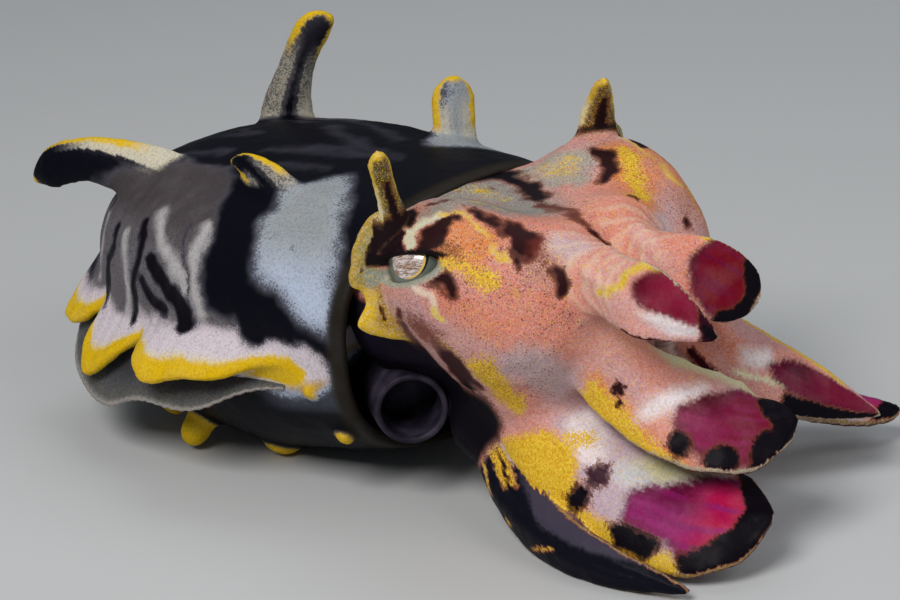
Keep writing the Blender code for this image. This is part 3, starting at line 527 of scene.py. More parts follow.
def tone(red, green, blue):
    """A colour of paint, from its screen values of 0 to 255."""
    value = np.array([red, green, blue]) / 255
    return np.where(value <= 0.04045, value / 12.92, ((value + 0.055) / 1.055) ** 2.4)


class Paint:
    """The colours at the points of a skin: mirror layer, gold specks in it, and pigment spots over both."""

    def __init__(self, count, under, pigment, cover=0.0):
        self.under = np.tile(under, (count, 1))
        self.pigment = np.tile(pigment, (count, 1))
        self.gold = np.zeros(count)
        self.cover = np.full(count, cover)

    def wash(self, where, colour):
        """Colours the mirror layer."""
        self.under += where[:, None] * (colour - self.under)

    def spots(self, where, colour, cover=1.0):
        """Spreads pigment spots: at cover 1 they close up into one dark patch."""
        self.pigment += np.clip(where * 3, 0, 1)[:, None] * (colour - self.pigment)
        self.cover = np.maximum(self.cover, where * cover)

    def clear(self, where, cover=0.0):
        """Draws the pigment spots in, to no more than that cover."""
        self.cover += where * (np.minimum(self.cover, cover) - self.cover)

    def specks(self, where):
        """Adds gold specks."""
        self.gold = np.maximum(self.gold, where)

    def unspeck(self, where):
        """Takes gold specks away."""
        self.gold *= 1 - where

    def lay_on(self, piece):
        """Stores the paint at the points of a piece, for its material to read."""
        for name, colour, amount in (("under", self.under, self.gold), ("pigment", self.pigment, self.cover)):
            layer = piece.data.attributes.new(name, "FLOAT_COLOR", "POINT")
            values = np.concatenate([np.clip(colour, 0, 1), np.clip(amount, 0, 1)[:, None]], axis=1)
            layer.data.foreach_set("color", values.astype(np.float32).ravel())


class Number:
    """A shader's number, which adds, subtracts, multiplies and divides with others and with plain ones."""

    def __init__(self, shader, socket):
        self.shader = shader
        self.socket = socket

    def _with(self, operation, other, swapped=False):
        """The two numbers joined by a Math node, in either order."""
        first, second = (other, self) if swapped else (self, other)
        return self.shader.maths(operation, first, second)

    def __add__(self, other):
        return self._with("ADD", other)

    def __radd__(self, other):
        return self._with("ADD", other, True)

    def __sub__(self, other):
        return self._with("SUBTRACT", other)

    def __rsub__(self, other):
        return self._with("SUBTRACT", other, True)

    def __mul__(self, other):
        return self._with("MULTIPLY", other)

    def __rmul__(self, other):
        return self._with("MULTIPLY", other, True)

    def __truediv__(self, other):
        return self._with("DIVIDE", other)

    def __rtruediv__(self, other):
        return self._with("DIVIDE", other, True)


class Shader:
    """A material that is put together from nodes."""

    def __init__(self, name, **constants):
        self.material = bpy.data.materials.new(name)
        self.material.use_nodes = True
        self.tree = self.material.node_tree
        self.surface = self.tree.nodes["Principled BSDF"]
        for key, value in constants.items():
            self.surface.inputs[key.replace("_", " ").title().replace("Ior", "IOR")].default_value = value

    def node(self, kind, settings=None, **inputs):
        """Adds a node, and gives its inputs numbers, colours or other nodes' outputs."""
        made = self.tree.nodes.new("ShaderNode" + kind)
        for key, value in (settings or {}).items():
            setattr(made, key, value)
        for key, value in inputs.items():
            self.connect(made.inputs[int(key[1:]) if key[1:].isdigit() else key.replace("_", " ")], value)
        return made

    def connect(self, socket, value):
        """Links an output to an input, or sets the input to a plain value."""
        if isinstance(value, Number):
            value = value.socket
        if isinstance(value, bpy.types.NodeSocket):
            self.tree.links.new(value, socket)
        else:
            socket.default_value = value

    def number(self, socket):
        """Wraps an output, to calculate with it."""
        return Number(self, socket)

    def maths(self, operation, a, b=0.0):
        """A Math node on numbers of the shader."""
        return self.number(self.node("Math", {"operation": operation}, _0=a, _1=b).outputs[0])

    def rise(self, value, start, end):
        """0 below start and 1 above end, with a smooth way between."""
        smooth = {"interpolation_type": "SMOOTHSTEP"}
        made = self.node("MapRange", smooth, Value=value, From_Min=start, From_Max=end)
        return self.number(made.outputs["Result"])

    def mix(self, share, a, b, kind="MIX"):
        """Goes from colour a at share 0 to colour b at share 1."""
        made = self.node("Mix", {"data_type": "RGBA", "blend_type": kind}, _0=share, _6=a, _7=b)
        return made.outputs[2]

    def place(self):
        """Where a point lies on the piece, in metres."""
        return self.node("TexCoord").outputs["Object"]

    def noise(self, size, detail=2.0):
        """Soft random values from 0 to 1, with features of about that size in millimetres."""
        made = self.node("TexNoise", Vector=self.place(), Scale=1 / (size * MM), Detail=detail)
        return self.number(made.outputs[0])

    def cells(self, size):
        """Distance to the nearest of many scattered middles, and one random value for each of them."""
        made = self.node("TexVoronoi", Vector=self.place(), Scale=1 / (size * MM))
        split = self.node("SeparateColor", Color=made.outputs["Color"])
        return self.number(made.outputs["Distance"]), self.number(split.outputs[0])

    def finish(self, colour=None, roughness=None, height=None, lift=0.05):
        """Joins colour, roughness and a height map, whose lift is in millimetres, to the surface."""
        if colour is not None:
            self.connect(self.surface.inputs["Base Color"], colour)
        if roughness is not None:
            self.connect(self.surface.inputs["Roughness"], roughness)
        if height is not None:
            bump = self.node("Bump", Height=height, Distance=lift * MM, Strength=1.0)
            self.tree.links.new(bump.outputs[0], self.surface.inputs["Normal"])
        return self.material


def skin_material(name, grain=0.15, halo=(0.05, 0.05, 0.07, 1), **constants):
    """Moist skin: spots of pigment that grow until they meet, over a mirror layer flecked with gold."""
    settings = dict(subsurface_weight=0.08, subsurface_scale=0.0006, coat_weight=0.03, coat_roughness=0.3,
                    specular_ior_level=0.06)
    shader = Shader(name, **{**settings, **constants})
    under = shader.node("Attribute", {"attribute_name": "under"})
    pigment = shader.node("Attribute", {"attribute_name": "pigment"})
    gold, cover = shader.number(under.outputs["Alpha"]), shader.number(pigment.outputs["Alpha"])

    mottle = shader.noise(2.4, 3)
    pale = shader.mix(shader.rise(mottle, 0.35, 0.75) * 0.03, under.outputs["Color"], (1.0, 0.93, 0.9, 1))
    dusk = shader.noise(0.25, 2)
    pale = shader.mix(shader.rise(dusk, 0.42, 0.7) * 0.35, pale, (0.52, 0.36, 0.34, 1), "MULTIPLY")

    fine, chance = shader.cells(grain)
    wide, fortune = shader.cells(grain * 1.9)
    grainy = shader.rise(gold, 0.0, 0.1)
    pale = shader.mix(shader.rise(chance, 0.5, 1.0) * grainy * 0.3, pale, (0.80, 0.72, 0.76, 1))
    fleck, luck = shader.cells(grain * 1.1)
    golden = shader.rise(gold * 1.1 - 0.05 + (luck - 0.5) * 0.4 - fleck, -0.15, 0.15) * grainy
    gilt = shader.mix(luck, (0.66, 0.34, 0.01, 1), (0.86, 0.60, 0.06, 1))
    pale = shader.mix(golden, pale, gilt)

    small = shader.rise(cover * 1.15 - 0.1 + (chance - 0.5) * 0.5 - fine, -0.16, 0.16)
    large = shader.rise(cover * 1.15 - 0.2 + (fortune - 0.5) * 0.5 - wide, -0.1, 0.1)
    dots = shader.maths("MAXIMUM", small, large)
    dark = shader.maths("MAXIMUM", dots * (0.6 + cover * 0.4), shader.rise(cover, 0.3, 0.95))
    stain = shader.mix(shader.rise(cover + (mottle - 0.5) * 0.3, 0.45, 0.95), halo, pigment.outputs["Color"])
    colour = shader.mix(dark, pale, stain)

    goose = shader.noise(0.35, 3)
    height = goose + fine * 0.2
    roughness = 0.46 + goose * 0.14
    return shader.finish(colour, roughness, height, 0.035)


def finished(piece, slot, material, *nodes):
    """Moves a piece onto the frame, in metres, and lets it stand for CAD nodes."""
    piece.data.transform(Matrix.Translation(SHIFT) @ Matrix.Scale(MM, 4))
    piece.data.materials.clear()
    piece.data.materials.append(material)
    piece.data.shade_smooth()
    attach(piece, "root")
    if nodes:
        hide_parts(*nodes)
    return piece


EYE_BOX_CENTRE = (-13.0, 0.2, 26.3)
eye_low, eye_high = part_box("eye_right")
SHIFT = (eye_low + eye_high) / 2 - Vector(EYE_BOX_CENTRE) * MM

INK = tone(7, 8, 18)
SLATE = tone(70, 66, 74)
BLUE_WHITE = tone(182, 196, 218)
LILAC_WHITE = tone(214, 204, 212)
OLIVE = tone(72, 62, 36)
LEMON = tone(224, 184, 18)
CREAM = tone(232, 226, 186)

# Outlines and lines on the barrel, as shares of its length and degrees round it
WHITE_PATCH = [(0.23, 104), (0.28, 110), (0.30, 117), (0.30, 128), (0.26, 144), (0.23, 152), (0.16, 160),
               (0.07, 171), (0.0, 175), (0.0, 168), (0.02, 157), (0.05, 144), (0.10, 128), (0.16, 114)]
REAR_PATCH = [(0.52, 112), (0.43, 121), (0.41, 134), (0.39, 149), (0.36, 160), (0.34, 168), (0.27, 171),
              (0.23, 178), (0.21, 180), (0.16, 176), (0.10, 177), (0.04, 181), (0.02, 187), (0.06, 193),
              (0.16, 196), (0.25, 190), (0.5, 190), (0.8, 196), (0.93, 182), (0.93, 160), (0.88, 140),
              (0.76, 122), (0.66, 112)]
PALE_REAR = [(0.16, 176), (0.10, 176), (0.04, 181), (0.03, 186), (0.08, 191), (0.16, 191), (0.25, 188),
             (0.5, 190), (0.8, 196), (0.83, 186), (0.79, 184), (0.61, 179), (0.5, 177.5), (0.38, 176.5),
             (0.26, 174), (0.22, 180)]
DARK_STRIPES = [
    ([(0.74, 150), (0.73, 160), (0.74, 171), (0.76, 180), (0.77, 190)], 1.7),
    ([(0.63, 142), (0.61, 152), (0.60, 160), (0.60, 170), (0.61, 180)], 1.5),
    ([(0.55, 158), (0.51, 162), (0.46, 167), (0.42, 171), (0.40, 175)], 2.3),
    ([(0.57, 168), (0.54, 172), (0.48, 174)], 1.8),
    ([(0.84, 140), (0.86, 160), (0.86, 176)], 0.8),
    ([(0.47, 139), (0.47, 146), (0.45, 152), (0.42, 161), (0.40, 169)], 0.4),
]
PALE_STRIPES = [
    ([(0.59, 138), (0.56, 146), (0.53, 150), (0.48, 154), (0.44, 162), (0.42, 167)], 1.6),
    ([(0.43, 138), (0.42, 144), (0.41, 152), (0.39, 162), (0.36, 172)], 1.5),
    ([(0.68, 152), (0.65, 164), (0.63, 173), (0.65, 181)], 1.1),
    ([(0.82, 150), (0.81, 166), (0.83, 180)], 0.9),
]
# Painted sheen on the back: streaks that are paler grey
BACK_SHEEN_STREAKS = [
    ([(0.2, 88), (0.35, 92), (0.5, 100)], 1.6),
    ([(0.3, 101), (0.42, 107), (0.52, 112)], 1.3),
    ([(0.28, 80), (0.5, 84), (0.7, 92)], 1.2),
    ([(0.6, 104), (0.72, 108), (0.82, 118)], 1.6),
]
RING_SPOTS = [(0.24, 136), (0.18, 139)]
BACK_FOLD = [(0.2, 116), (0.45, 116), (0.75, 116)]
FOOT_BLEND = 1.3  # how far the foot of a raised form runs out into the barrel
FLANK = len(PAPILLAE)  # number of the flank lobes among the raised forms
LEAF_NEAR = (2.2, 1.4)  # distances from a raised form at which its own paint starts and is full
FLANK_NEAR = (2.3, 1.7)


def on_mantle(places):
    """Turns shares and degrees into millimetres along and round the barrel."""
    return np.asarray(places, float) * [MANTLE_LENGTH, MANTLE_DEGREE]


solids = [mantle()]
forms = []
for number, (name, shape) in enumerate(PAPILLAE.items()):
    solids.append(blade(name, shape, rows=60, columns=28))
    forms.append(leaf_samples(number, shape, rows=40, columns=15))
for side in (-1, 1):
    s, across, grid, thickness = flank_lobes(side)
    solids.append(thick_sheet("flank", grid, thickness))
    forms.append(sheet_samples(FLANK, grid, s, across))
for s, degrees, length, radius in BELLY_LOBES:
    solids.append(belly_lobe(s, degrees, length, radius))
    solids.append(belly_lobe(s, other_side(degrees), length, radius))

body = one_skin("body_skin", solids, BODY_CELL)
s, degrees, height = mantle_place(points_of(body))
relax(body, weight=0.5, rounds=4)
foot = np.exp(-((height / FOOT_BLEND) ** 2)) * fade(s, 0.04, 0.08)
relax(body, weight=0.6 * foot, rounds=18)

# Where each point lies: on the barrel, with the edges of the markings thrown into large and small bays, and
# on a leaf
points = points_of(body)
s, degrees, height = mantle_place(points)
part, along, across, face, gap = grown_from(points, forms)
raised = fade(height, 0.2, 0.8)
on_leaf = (part < FLANK) * fade(gap, *LEAF_NEAR) * raised
on_flank = (part == FLANK) * fade(gap, *FLANK_NEAR)
true_at = on_mantle(np.stack([s, degrees], 1))
at = true_at + 0.7 * scatter(points, size=2.2, seed=1, axes=2)
at = at + 0.22 * scatter(points, size=0.6, seed=3, axes=2)

# Wrinkles run down the flank behind the dark band, and a low fold joins the papillae of each side. Heights
# are in millimetres.
folds = np.zeros(len(points))
for path, width in DARK_STRIPES:
    folds -= 0.12 * stroke(at, on_mantle(path), width * 0.7, soft=1.2)
for path, width in PALE_STRIPES:
    folds += 0.14 * stroke(at, on_mantle(path), width * 0.6, soft=1.6)
flank_zone = fade(degrees, 110, 130) * fade(s, 0.33, 0.43)
folds += 0.04 * flank_zone * np.sin(s * 150 + drift(points, 4) * 2.5)
folds += 0.3 * stroke(at, on_mantle(BACK_FOLD), 2.0, soft=3.0)
folds += 0.03 * drift(points, 0.9, seed=6) + 0.07 * drift(points, 2.5, seed=7)
raise_skin(body, folds * (1 - on_leaf) + on_leaf * 0.06 * drift(points, 0.7, seed=8))

# A blue-white patch lies behind the rim, and a grey one with pale and dark stripes behind the black band
paint = Paint(len(points), SLATE, INK, cover=1.0)
white = patch(at, on_mantle(WHITE_PATCH), soft=3.4)
rear = patch(at, on_mantle(REAR_PATCH), soft=2.2)
low = patch(at, on_mantle(PALE_REAR), soft=1.4)
front = fade(s, 0.26, 0.06)
paint.wash(white, BLUE_WHITE)
paint.wash(white * fade(degrees, 160, 130), tone(150, 156, 160))
paint.clear(white, 0.1)
paint.clear(white * fade(degrees, 140, 160), 0.3)
paint.wash(rear, tone(104, 100, 104))
paint.wash(rear * fade(degrees, 156, 136), tone(74, 68, 68))
paint.clear(rear, 0.35)
for path, width in PALE_STRIPES:
    mark = stroke(at, on_mantle(path), width, soft=1.4)
    paint.wash(mark, tone(176, 174, 176))
    paint.clear(mark, 0.14)
paint.wash(low, LILAC_WHITE)
paint.clear(low, 0.14)
paint.clear(low * front, 0.34)
paint.wash(low * front * fade(degrees, 185, 189), tone(190, 150, 60))
# Painted sheen: along these streaks of the back the pigment is thinned, so they show paler grey
for path, width in BACK_SHEEN_STREAKS:
    paint.clear(stroke(at, on_mantle(path), width, soft=2.2), 0.72)
speckle = fade(degrees, 180, 186) * fade(degrees, 208, 196) * fade(s, 0.32, 0.12) * (1 - low)
paint.wash(speckle, BLUE_WHITE)
paint.clear(speckle, 0.78)
for path, width in DARK_STRIPES:
    paint.spots(stroke(at, on_mantle(path), width, soft=1.2), tone(14, 10, 18))
for spot in RING_SPOTS:
    away = from_line(at, on_mantle([spot]))
    paint.spots(np.exp(-(((away - 0.4) / 0.22) ** 2)) * 0.45, SLATE)
rim = fade(s, 0.045, 0.015) * (1 - raised)
paint.spots(rim * 0.85, tone(30, 26, 18))
paint.wash(rim, OLIVE)
paint.cover += rim * (0.85 - paint.cover)

# The lobes are white above and yellow along their edge, and the papillae dark with a yellow rim and some
# cream
yellow = on_flank * fade(across + 0.05 * drift(points, 1.6, seed=9), 0.55, 0.85)
outer_part = on_flank * fade(across, 0.27, 0.57)
paint.wash(outer_part, LILAC_WHITE)
paint.clear(outer_part, 0.12)
paint.wash(yellow, tone(232, 214, 130))
paint.wash(fade(yellow, 0.3, 0.8), LEMON)
paint.clear(yellow, 0.05)
for number, name in enumerate(PAPILLAE):
    here = (part == number) * on_leaf
    border = np.abs(across) + 0.06 * drift(points, 1.4, seed=11)
    upper = fade(border, 0.595, 0.845) * fade(along, 0.28, 0.4)
    tip = fade(along + 0.03 * drift(points, 1.2, seed=12), 0.88, 0.96)
    cream = fade(along, 0.05, 0.15) * fade(along, 0.77, 0.47)
    if name == "rear_right":
        upper = upper * fade(across, -0.15, 0.35)
        cream = cream * fade(across, 0.15, 0.45)
    else:
        cream = cream * fade(np.abs(across), 0.1, 0.4) * 0.6
    paint.wash(here * cream, tone(206, 200, 178))
    paint.clear(here * cream, 0.15)
    gilded = here * np.maximum(upper, tip)
    if name == "rear_left":
        gilded = gilded * fade(along, 0.5, 0.7)
    paint.wash(gilded, LEMON)
    paint.clear(gilded, 0.05)
for spot, angle, length, radius in BELLY_LOBES:
    bead = fade(height, 0.1, 0.6) * stroke(true_at, on_mantle([(spot, angle)]), radius * 3.2, soft=1.0)
    paint.wash(bead, LEMON)
    paint.clear(bead, 0.02)
paint.lay_on(body)

finished(body, "mantle", skin_material("body skin"), "mantle", "papilla_rear_right", "papilla_rear_left",
         "papilla_middle_right", "papilla_middle_left", "flank_flap_right", "flank_flap_left")


# The fins: a thin grey membrane of muscle and skin along each side of the body. It is rooted in the side
# below the lobes, carries fine rays, and its pale edge is thrown into waves.

FIN_SPAN = (0.14, 0.97)
FIN_ANGLES = [187.0, 186.5, 191.0, 190.0]
FIN_REACH = [0.6, 3.6, 4.9, 5.6, 3.2]
FIN_THICKNESS = (1.0, 0.25)
FIN_WAVES = (3, 0.5)  # how many along the fin, and how high
FIN_FRILLS = (37, 0.05)
FIN_RAYS = (110, 0.02)


def fin(name, side):
    """One fin, thin along its edge, with its paint."""
    t = np.linspace(0, 1, 420)
    s = FIN_SPAN[0] + (FIN_SPAN[1] - FIN_SPAN[0]) * t
    across = np.linspace(0, 1, 36)
    grid = flank_grid(side, s, smooth_through(FIN_ANGLES, t), smooth_through(FIN_REACH, t), across)
    turns = 2 * np.pi * t[:, None]
    grid[..., 2] += np.sin(FIN_WAVES[0] * turns) * across**1.5 * FIN_WAVES[1]
    grid[..., 2] += np.sin(FIN_FRILLS[0] * turns + side) * across**4 * FIN_FRILLS[1]
    grid[..., 2] += np.sin(FIN_RAYS[0] * turns) * across**2 * FIN_RAYS[1]
    thickness = FIN_THICKNESS[0] + (FIN_THICKNESS[1] - FIN_THICKNESS[0]) * across
    piece = thick_sheet(name, grid, thickness[None, :])
    paint = Paint(2 * grid.shape[0] * grid.shape[1], tone(92, 94, 90), tone(30, 30, 38))
    edge = np.tile(np.broadcast_to(across, grid.shape[:2]).ravel(), 2)
    paint.wash(fade(edge, 0.92, 0.98), tone(150, 150, 146))
    paint.spots(fade(edge, 1.3, 0.5) * 0.9, tone(26, 26, 34), 0.75)
    paint.lay_on(piece)
    return piece


membrane = skin_material("fin membrane", subsurface_weight=0.35, subsurface_scale=0.0015)
for side, word in ((-1, "right"), (1, "left")):
    finished(fin("fin_membrane_" + word, side), "fin", membrane, "fin_" + word)


# The head and arms: soft salmon skin, finely spotted, drawn out into eight broad flat arms that are held
# like petals. The eye mounds carry lids, a papilla over each eye and a notched flap behind each cheek.

HEAD_CELL = 0.301  # size of the head skin's faces
HEAD_MIDDLE = (0.0, -1.0, 19.5)
HEAD_BLEND = 1.5  # how softly the lobes run into each other
HEAD_LOBES = [  # middles and half sizes: middle of the head, neck, eye mounds, cheeks and front
    ((0.0, 0.5, 19.5), (12.0, 11.5, 8.6)),
    ((0.0, 9.0, 19.0), (14.5, 8.0, 9.5)),
    ((-10.7, 0.0, 25.4), (6.3, 7.8, 6.2)),
    ((10.7, 0.0, 25.4), (6.3, 7.8, 6.2)),
    ((-9.2, -5.0, 21.6), (5.8, 7.2, 6.6)),
    ((9.2, -5.0, 21.6), (5.8, 7.2, 6.6)),
    ((0.0, -5.5, 19.0), (9.5, 7.5, 8.0)),
]
ARM_ROOT_SHARE = 0.17  # where each arm swells the head, along the arm
ARM_ROOT_SIZE = 0.42  # radius of that lobe against the arm's width
EYE_CENTRE = (13.05, 0.7, 26.15)  # of the left eye
EYE_RADIUS = 3.85
EYE_LOOK = (0.95, -0.04, 0.27)
EYE_TILT = 0.3  # how far the eye's upright leans back
# Half the width of the lids' opening, and its height above and below, for 1 in front of the eyeball's middle
LID_OPENING = (1.4, 0.27, 0.42)
LID_WINDOW = (1.5, 9.0)  # where the hole in the head for the eye starts and ends, from the eyeball's middle
LID_SECTION = [  # reach from the middle of the opening, and height above the eyeball
    (1.0, 0.12), (1.08, 0.26), (1.4, 0.34), (2.2, 0.3), (3.0, 0.05),
    (3.3, -0.6), (3.3, -1.2), (2.2, -0.5), (1.4, -0.2), (1.0, -0.1),
]

# Each arm in the same way as the papillae. Its face is the side without suckers.
ARMS = {
    "arm_1_right": dict(
        path=[(-4.5, -5, 24.5), (-6, -11, 26), (-7, -16.5, 25.8), (-7.2, -21.5, 25.2), (-4.2, -26.2, 22.2)],
        face=[(-0.4, 0, 0.9), (-0.75, 0, 0.65), (-0.88, 0, 0.45), (-0.87, -0.35, 0.3), (-0.7, -0.7, 0)],
        width=[8, 7, 6, 6.5, 3],
        depth=[6, 4.6, 3.2, 2, 1],
        cup=[0.8, 0.8, 0.4, -0.6, -0.4],
    ),
    "arm_1_left": dict(
        path=[(3.5, -5, 25), (1.8, -10, 26.6), (0.3, -14.5, 26.6), (1.6, -19, 24.9), (5.6, -22.6, 21.6)],
        face=[(0.1, 0, 1), (-0.2, -0.1, 1), (-0.5, -0.3, 0.8), (-0.55, -0.7, 0.4), (-0.45, -0.85, 0.1)],
        width=[8, 6, 5, 7, 9.5],
        depth=[6, 4.6, 3, 1.8, 1.2],
        cup=[0.8, 0.8, 0.4, -0.5, -0.5],
    ),
    "arm_2_right": dict(
        path=[(-6, -5, 21.5), (-6.8, -11, 20.6), (-5.4, -16, 16.8), (-3.4, -20.8, 14.2), (-0.6, -25.4, 12.8),
              (3.4, -28.6, 12)],
        face=[(-0.7, -0.3, 0.65), (-0.65, -0.5, 0.55), (-0.45, -0.6, 0.65), (-0.33, -0.48, 0.8),
              (-0.22, -0.38, 0.9), (-0.2, -0.3, 0.93)],
        width=[8, 7.5, 8.5, 10.5, 11.5, 8.5],
        depth=[6.5, 5.2, 3.6, 2.6, 1.8, 1.1],
        cup=[1, 1.2, 1.4, 1.4, 1.2, 0.6],
        ruffle=0.35,
        waves=42,
    ),
    "arm_2_left": dict(
        path=[(7, -5, 20.5), (6.5, -12, 19), (7, -17.4, 16.2), (10, -20.7, 12.8), (13.7, -23.8, 9.8),
              (17.9, -26.8, 7)],
        face=[(0.3, -0.2, 0.9), (0, -0.5, 0.85), (-0.1, -0.8, 0.55), (-0.2, -0.84, 0.5), (-0.44, -0.76, 0.45),
              (-0.5, -0.7, 0.5)],
        width=[8, 7.5, 7.5, 7, 5, 2.4],
        depth=[6.5, 5, 3.4, 2.4, 1.6, 1],
        cup=[1, 1, 1.2, 1.2, 0.8, 0.3],
    ),
    "arm_3_right": dict(
        path=[(-5, -1, 16.5), (-7.4, -7, 12.8), (-8.2, -13.5, 9.2), (-7.2, -20.5, 6.6), (-5, -26, 5.4),
              (-2.6, -30.4, 5.2)],
        face=[(-0.75, -0.1, 0.65), (-0.6, -0.3, 0.73), (-0.55, -0.35, 0.75), (-0.45, -0.38, 0.8),
              (-0.35, -0.38, 0.86), (-0.3, -0.4, 0.87)],
        width=[9, 10.5, 11.5, 12.5, 13, 10],
        depth=[6.5, 5.2, 3.6, 2.6, 1.8, 1.1],
        cup=[1.2, 1.4, 1.6, 1.6, 1.4, 0.7],
        ruffle=0.3,
        waves=38,
    ),
    "arm_3_left": dict(
        path=[(7, -4.5, 14.5), (12, -10, 10.5), (17.5, -15.3, 7), (22.5, -19.3, 4.8), (26.8, -22.3, 3)],
        face=[(0.5, -0.4, 0.77)] * 5,
        width=[8, 7.5, 7, 6.5, 5],
        depth=[5, 4, 3, 2, 1.1],
        cup=[1.2, 1.4, 1.4, 1, 0.5],
    ),
    "arm_4_right": dict(
        path=[(-5, 4, 11.5), (-8.2, -0.5, 7.6), (-11.3, -6, 4.6), (-13.6, -13, 2.7), (-14, -20, 1.9),
              (-12.1, -28.4, 1.1)],
        face=[(-0.93, 0.36, 0.12), (-0.93, 0.36, 0.05), (-0.94, 0.25, 0.2), (-0.97, 0.1, 0.25),
              (-0.98, -0.1, 0.2), (-0.95, -0.25, 0.2)],
        width=[8, 8, 7, 5.6, 4.4, 2.4],
        depth=[5, 3.6, 2.8, 2.4, 1.8, 1],
        cup=[0.8, 0.8, 0.8, 0.6, 0.4, 0.2],
    ),
    "arm_4_left": dict(
        path=[(5, 2, 11.5), (8.5, -2, 7.6), (11.8, -6, 4.2), (14.6, -10, 2.4), (17, -14, 1.5)],
        face=[(0.9, 0.4, 0.12), (0.85, 0.45, 0.1), (0.8, 0.5, 0.2), (0.8, 0.5, 0.25), (0.85, 0.4, 0.2)],
        width=[8, 8, 7, 5.6, 3.6],
        depth=[5, 3.6, 2.8, 2.2, 1],
        cup=[0.8, 0.8, 0.8, 0.6, 0.3],
    ),
}
BROW_PAPILLAE = {
    "brow_right": dict(
        path=[(-14.5, 2.5, 28), (-15.8, 2, 32), (-17.3, 1.2, 35.5), (-18.6, 0.3, 38.6)],
        face=[(-0.5, -0.8, 0.1)] * 4,
        width=[5.0, 2.5, 2.0, 2.7],
        depth=[2.4, 1.6, 1.2, 1],
        cup=[0.2, 0.3, 0.4, 0.4],
    ),
    "brow_left": dict(
        path=[(12, 2.5, 29), (11.8, 1.8, 33), (11, 0.3, 36), (10, -1, 38)],
        face=[(-0.5, -0.8, 0.1)] * 4,
        width=[6, 3.8, 2.2, 1.6],
        depth=[2.4, 1.6, 1.2, 0.9],
        cup=[0.2, 0.3, 0.4, 0.3],
    ),
}
# The right flap's root and edge, from top to bottom
CHEEK_ROOT = [(-14, 3.2, 31), (-14.6, 3.4, 27.5), (-14, 2.6, 23.5), (-12.6, 0.6, 19.5)]
CHEEK_EDGE = [(-17.2, 4.2, 32.5), (-18.6, 5.2, 27.5), (-19, 5.2, 22.6), (-17.4, 3.6, 18.2)]
CHEEK_THICKNESS = (2.2, 0.8)  # at the root and at the edge
CHEEK_NOTCH = 0.62  # where the notch lies down the flap
CHEEK_NOTCH_DEPTH = 0.26  # share of the flap's reach that it takes
CHEEK_NOTCH_WIDTH = 0.08
CHEEK = len(ARMS) + len(BROW_PAPILLAE)  # number of the cheek flaps among the forms that grow from the head
ARM_GRID, ARM_SAMPLES = (110, 48), (90, 31)  # steps along and across an arm
BROW_GRID, BROW_SAMPLES = (50, 24), (40, 15)


def head_field(points):
    """Roughly the distance in millimetres from the head's surface, negative inside."""
    lobes = list(HEAD_LOBES)
    for shape in ARMS.values():
        middle = smooth_through(shape["path"], [ARM_ROOT_SHARE])[0]
        lobes.append((middle, (shape["width"][0] * ARM_ROOT_SIZE,) * 3))
    total = np.zeros(len(points))
    for centre, radii in lobes:
        distance = (np.linalg.norm((points - centre) / radii, axis=1) - 1) * min(radii)
        total += np.exp(-distance / HEAD_BLEND)
    return -HEAD_BLEND * np.log(total)


def head():
    """A ball whose points are pushed out to where the blended lobes end."""
    bpy.ops.object.select_all(action="DESELECT")
    bpy.ops.mesh.primitive_ico_sphere_add(subdivisions=7, radius=1)
    piece = bpy.context.object
    directions = unit(points_of(piece))
    low = np.full(len(directions), 2.0)
    for distance in np.arange(2.0, 30.0, 1.0):
        low[head_field(HEAD_MIDDLE + directions * distance) < 0] = distance
    high = low + 1.0
    for _ in range(12):
        middle = (low + high) / 2
        inside = head_field(HEAD_MIDDLE + directions * middle[:, None]) < 0
        low, high = np.where(inside, middle, low), np.where(inside, high, middle)
    set_points(piece, HEAD_MIDDLE + directions * low[:, None])
    return piece


def mirrored(side, point):
    """A point of the left side, or its mirror image for the right side."""
    return np.array(point, float) * [side, 1, 1]


def eye_axes(side):
    """The way the eye looks, the way ahead along its slit, and up."""
    look = unit(mirrored(side, EYE_LOOK))
    ahead = unit(np.cross(look, (0, EYE_TILT, 1)))
    return look, ahead, np.cross(ahead, look)


def eye_opening(side, around, reach=1.0):
    """Directions from the eyeball's middle to the almond-shaped edge of its opening, or further out."""
    look, ahead, up = eye_axes(side)
    cos, sin = np.cos(around)[:, None], np.sin(around)[:, None]
    height = np.where(sin > 0, LID_OPENING[1] * np.sqrt(np.abs(sin)), LID_OPENING[2] * sin)
    return unit(look + (ahead * LID_OPENING[0] * cos + up * height) * reach)


def ring_tube(name, sections):
    """A tube that runs round into itself."""
    steps, sides = sections.shape[:2]
    faces = []
    for i, j in itertools.product(range(steps), range(sides)):
        k, n = (j + 1) % sides, (i + 1) % steps
        faces.append((i * sides + j, i * sides + k, n * sides + k, n * sides + j))
    return outward(new_piece(name, sections.reshape(-1, 3), faces))


def eyelids(side):
    """A thin lid all round the eye's opening, which lies on the eyeball and sinks into the head."""
    around = np.linspace(0, 2 * np.pi, 160, endpoint=False)
    section = [eye_opening(side, around, reach) * (EYE_RADIUS + rise) for reach, rise in LID_SECTION]
    return ring_tube("lids", mirrored(side, EYE_CENTRE) + np.stack(section, axis=1))


def carve(piece, cutter):
    """Takes the cutter's volume out of a piece."""
    modifier = piece.modifiers.new("carve", "BOOLEAN")
    modifier.operation = "DIFFERENCE"
    modifier.object = cutter
    select_only([piece])
    bpy.ops.object.modifier_apply(modifier="carve")
    bpy.data.objects.remove(cutter)


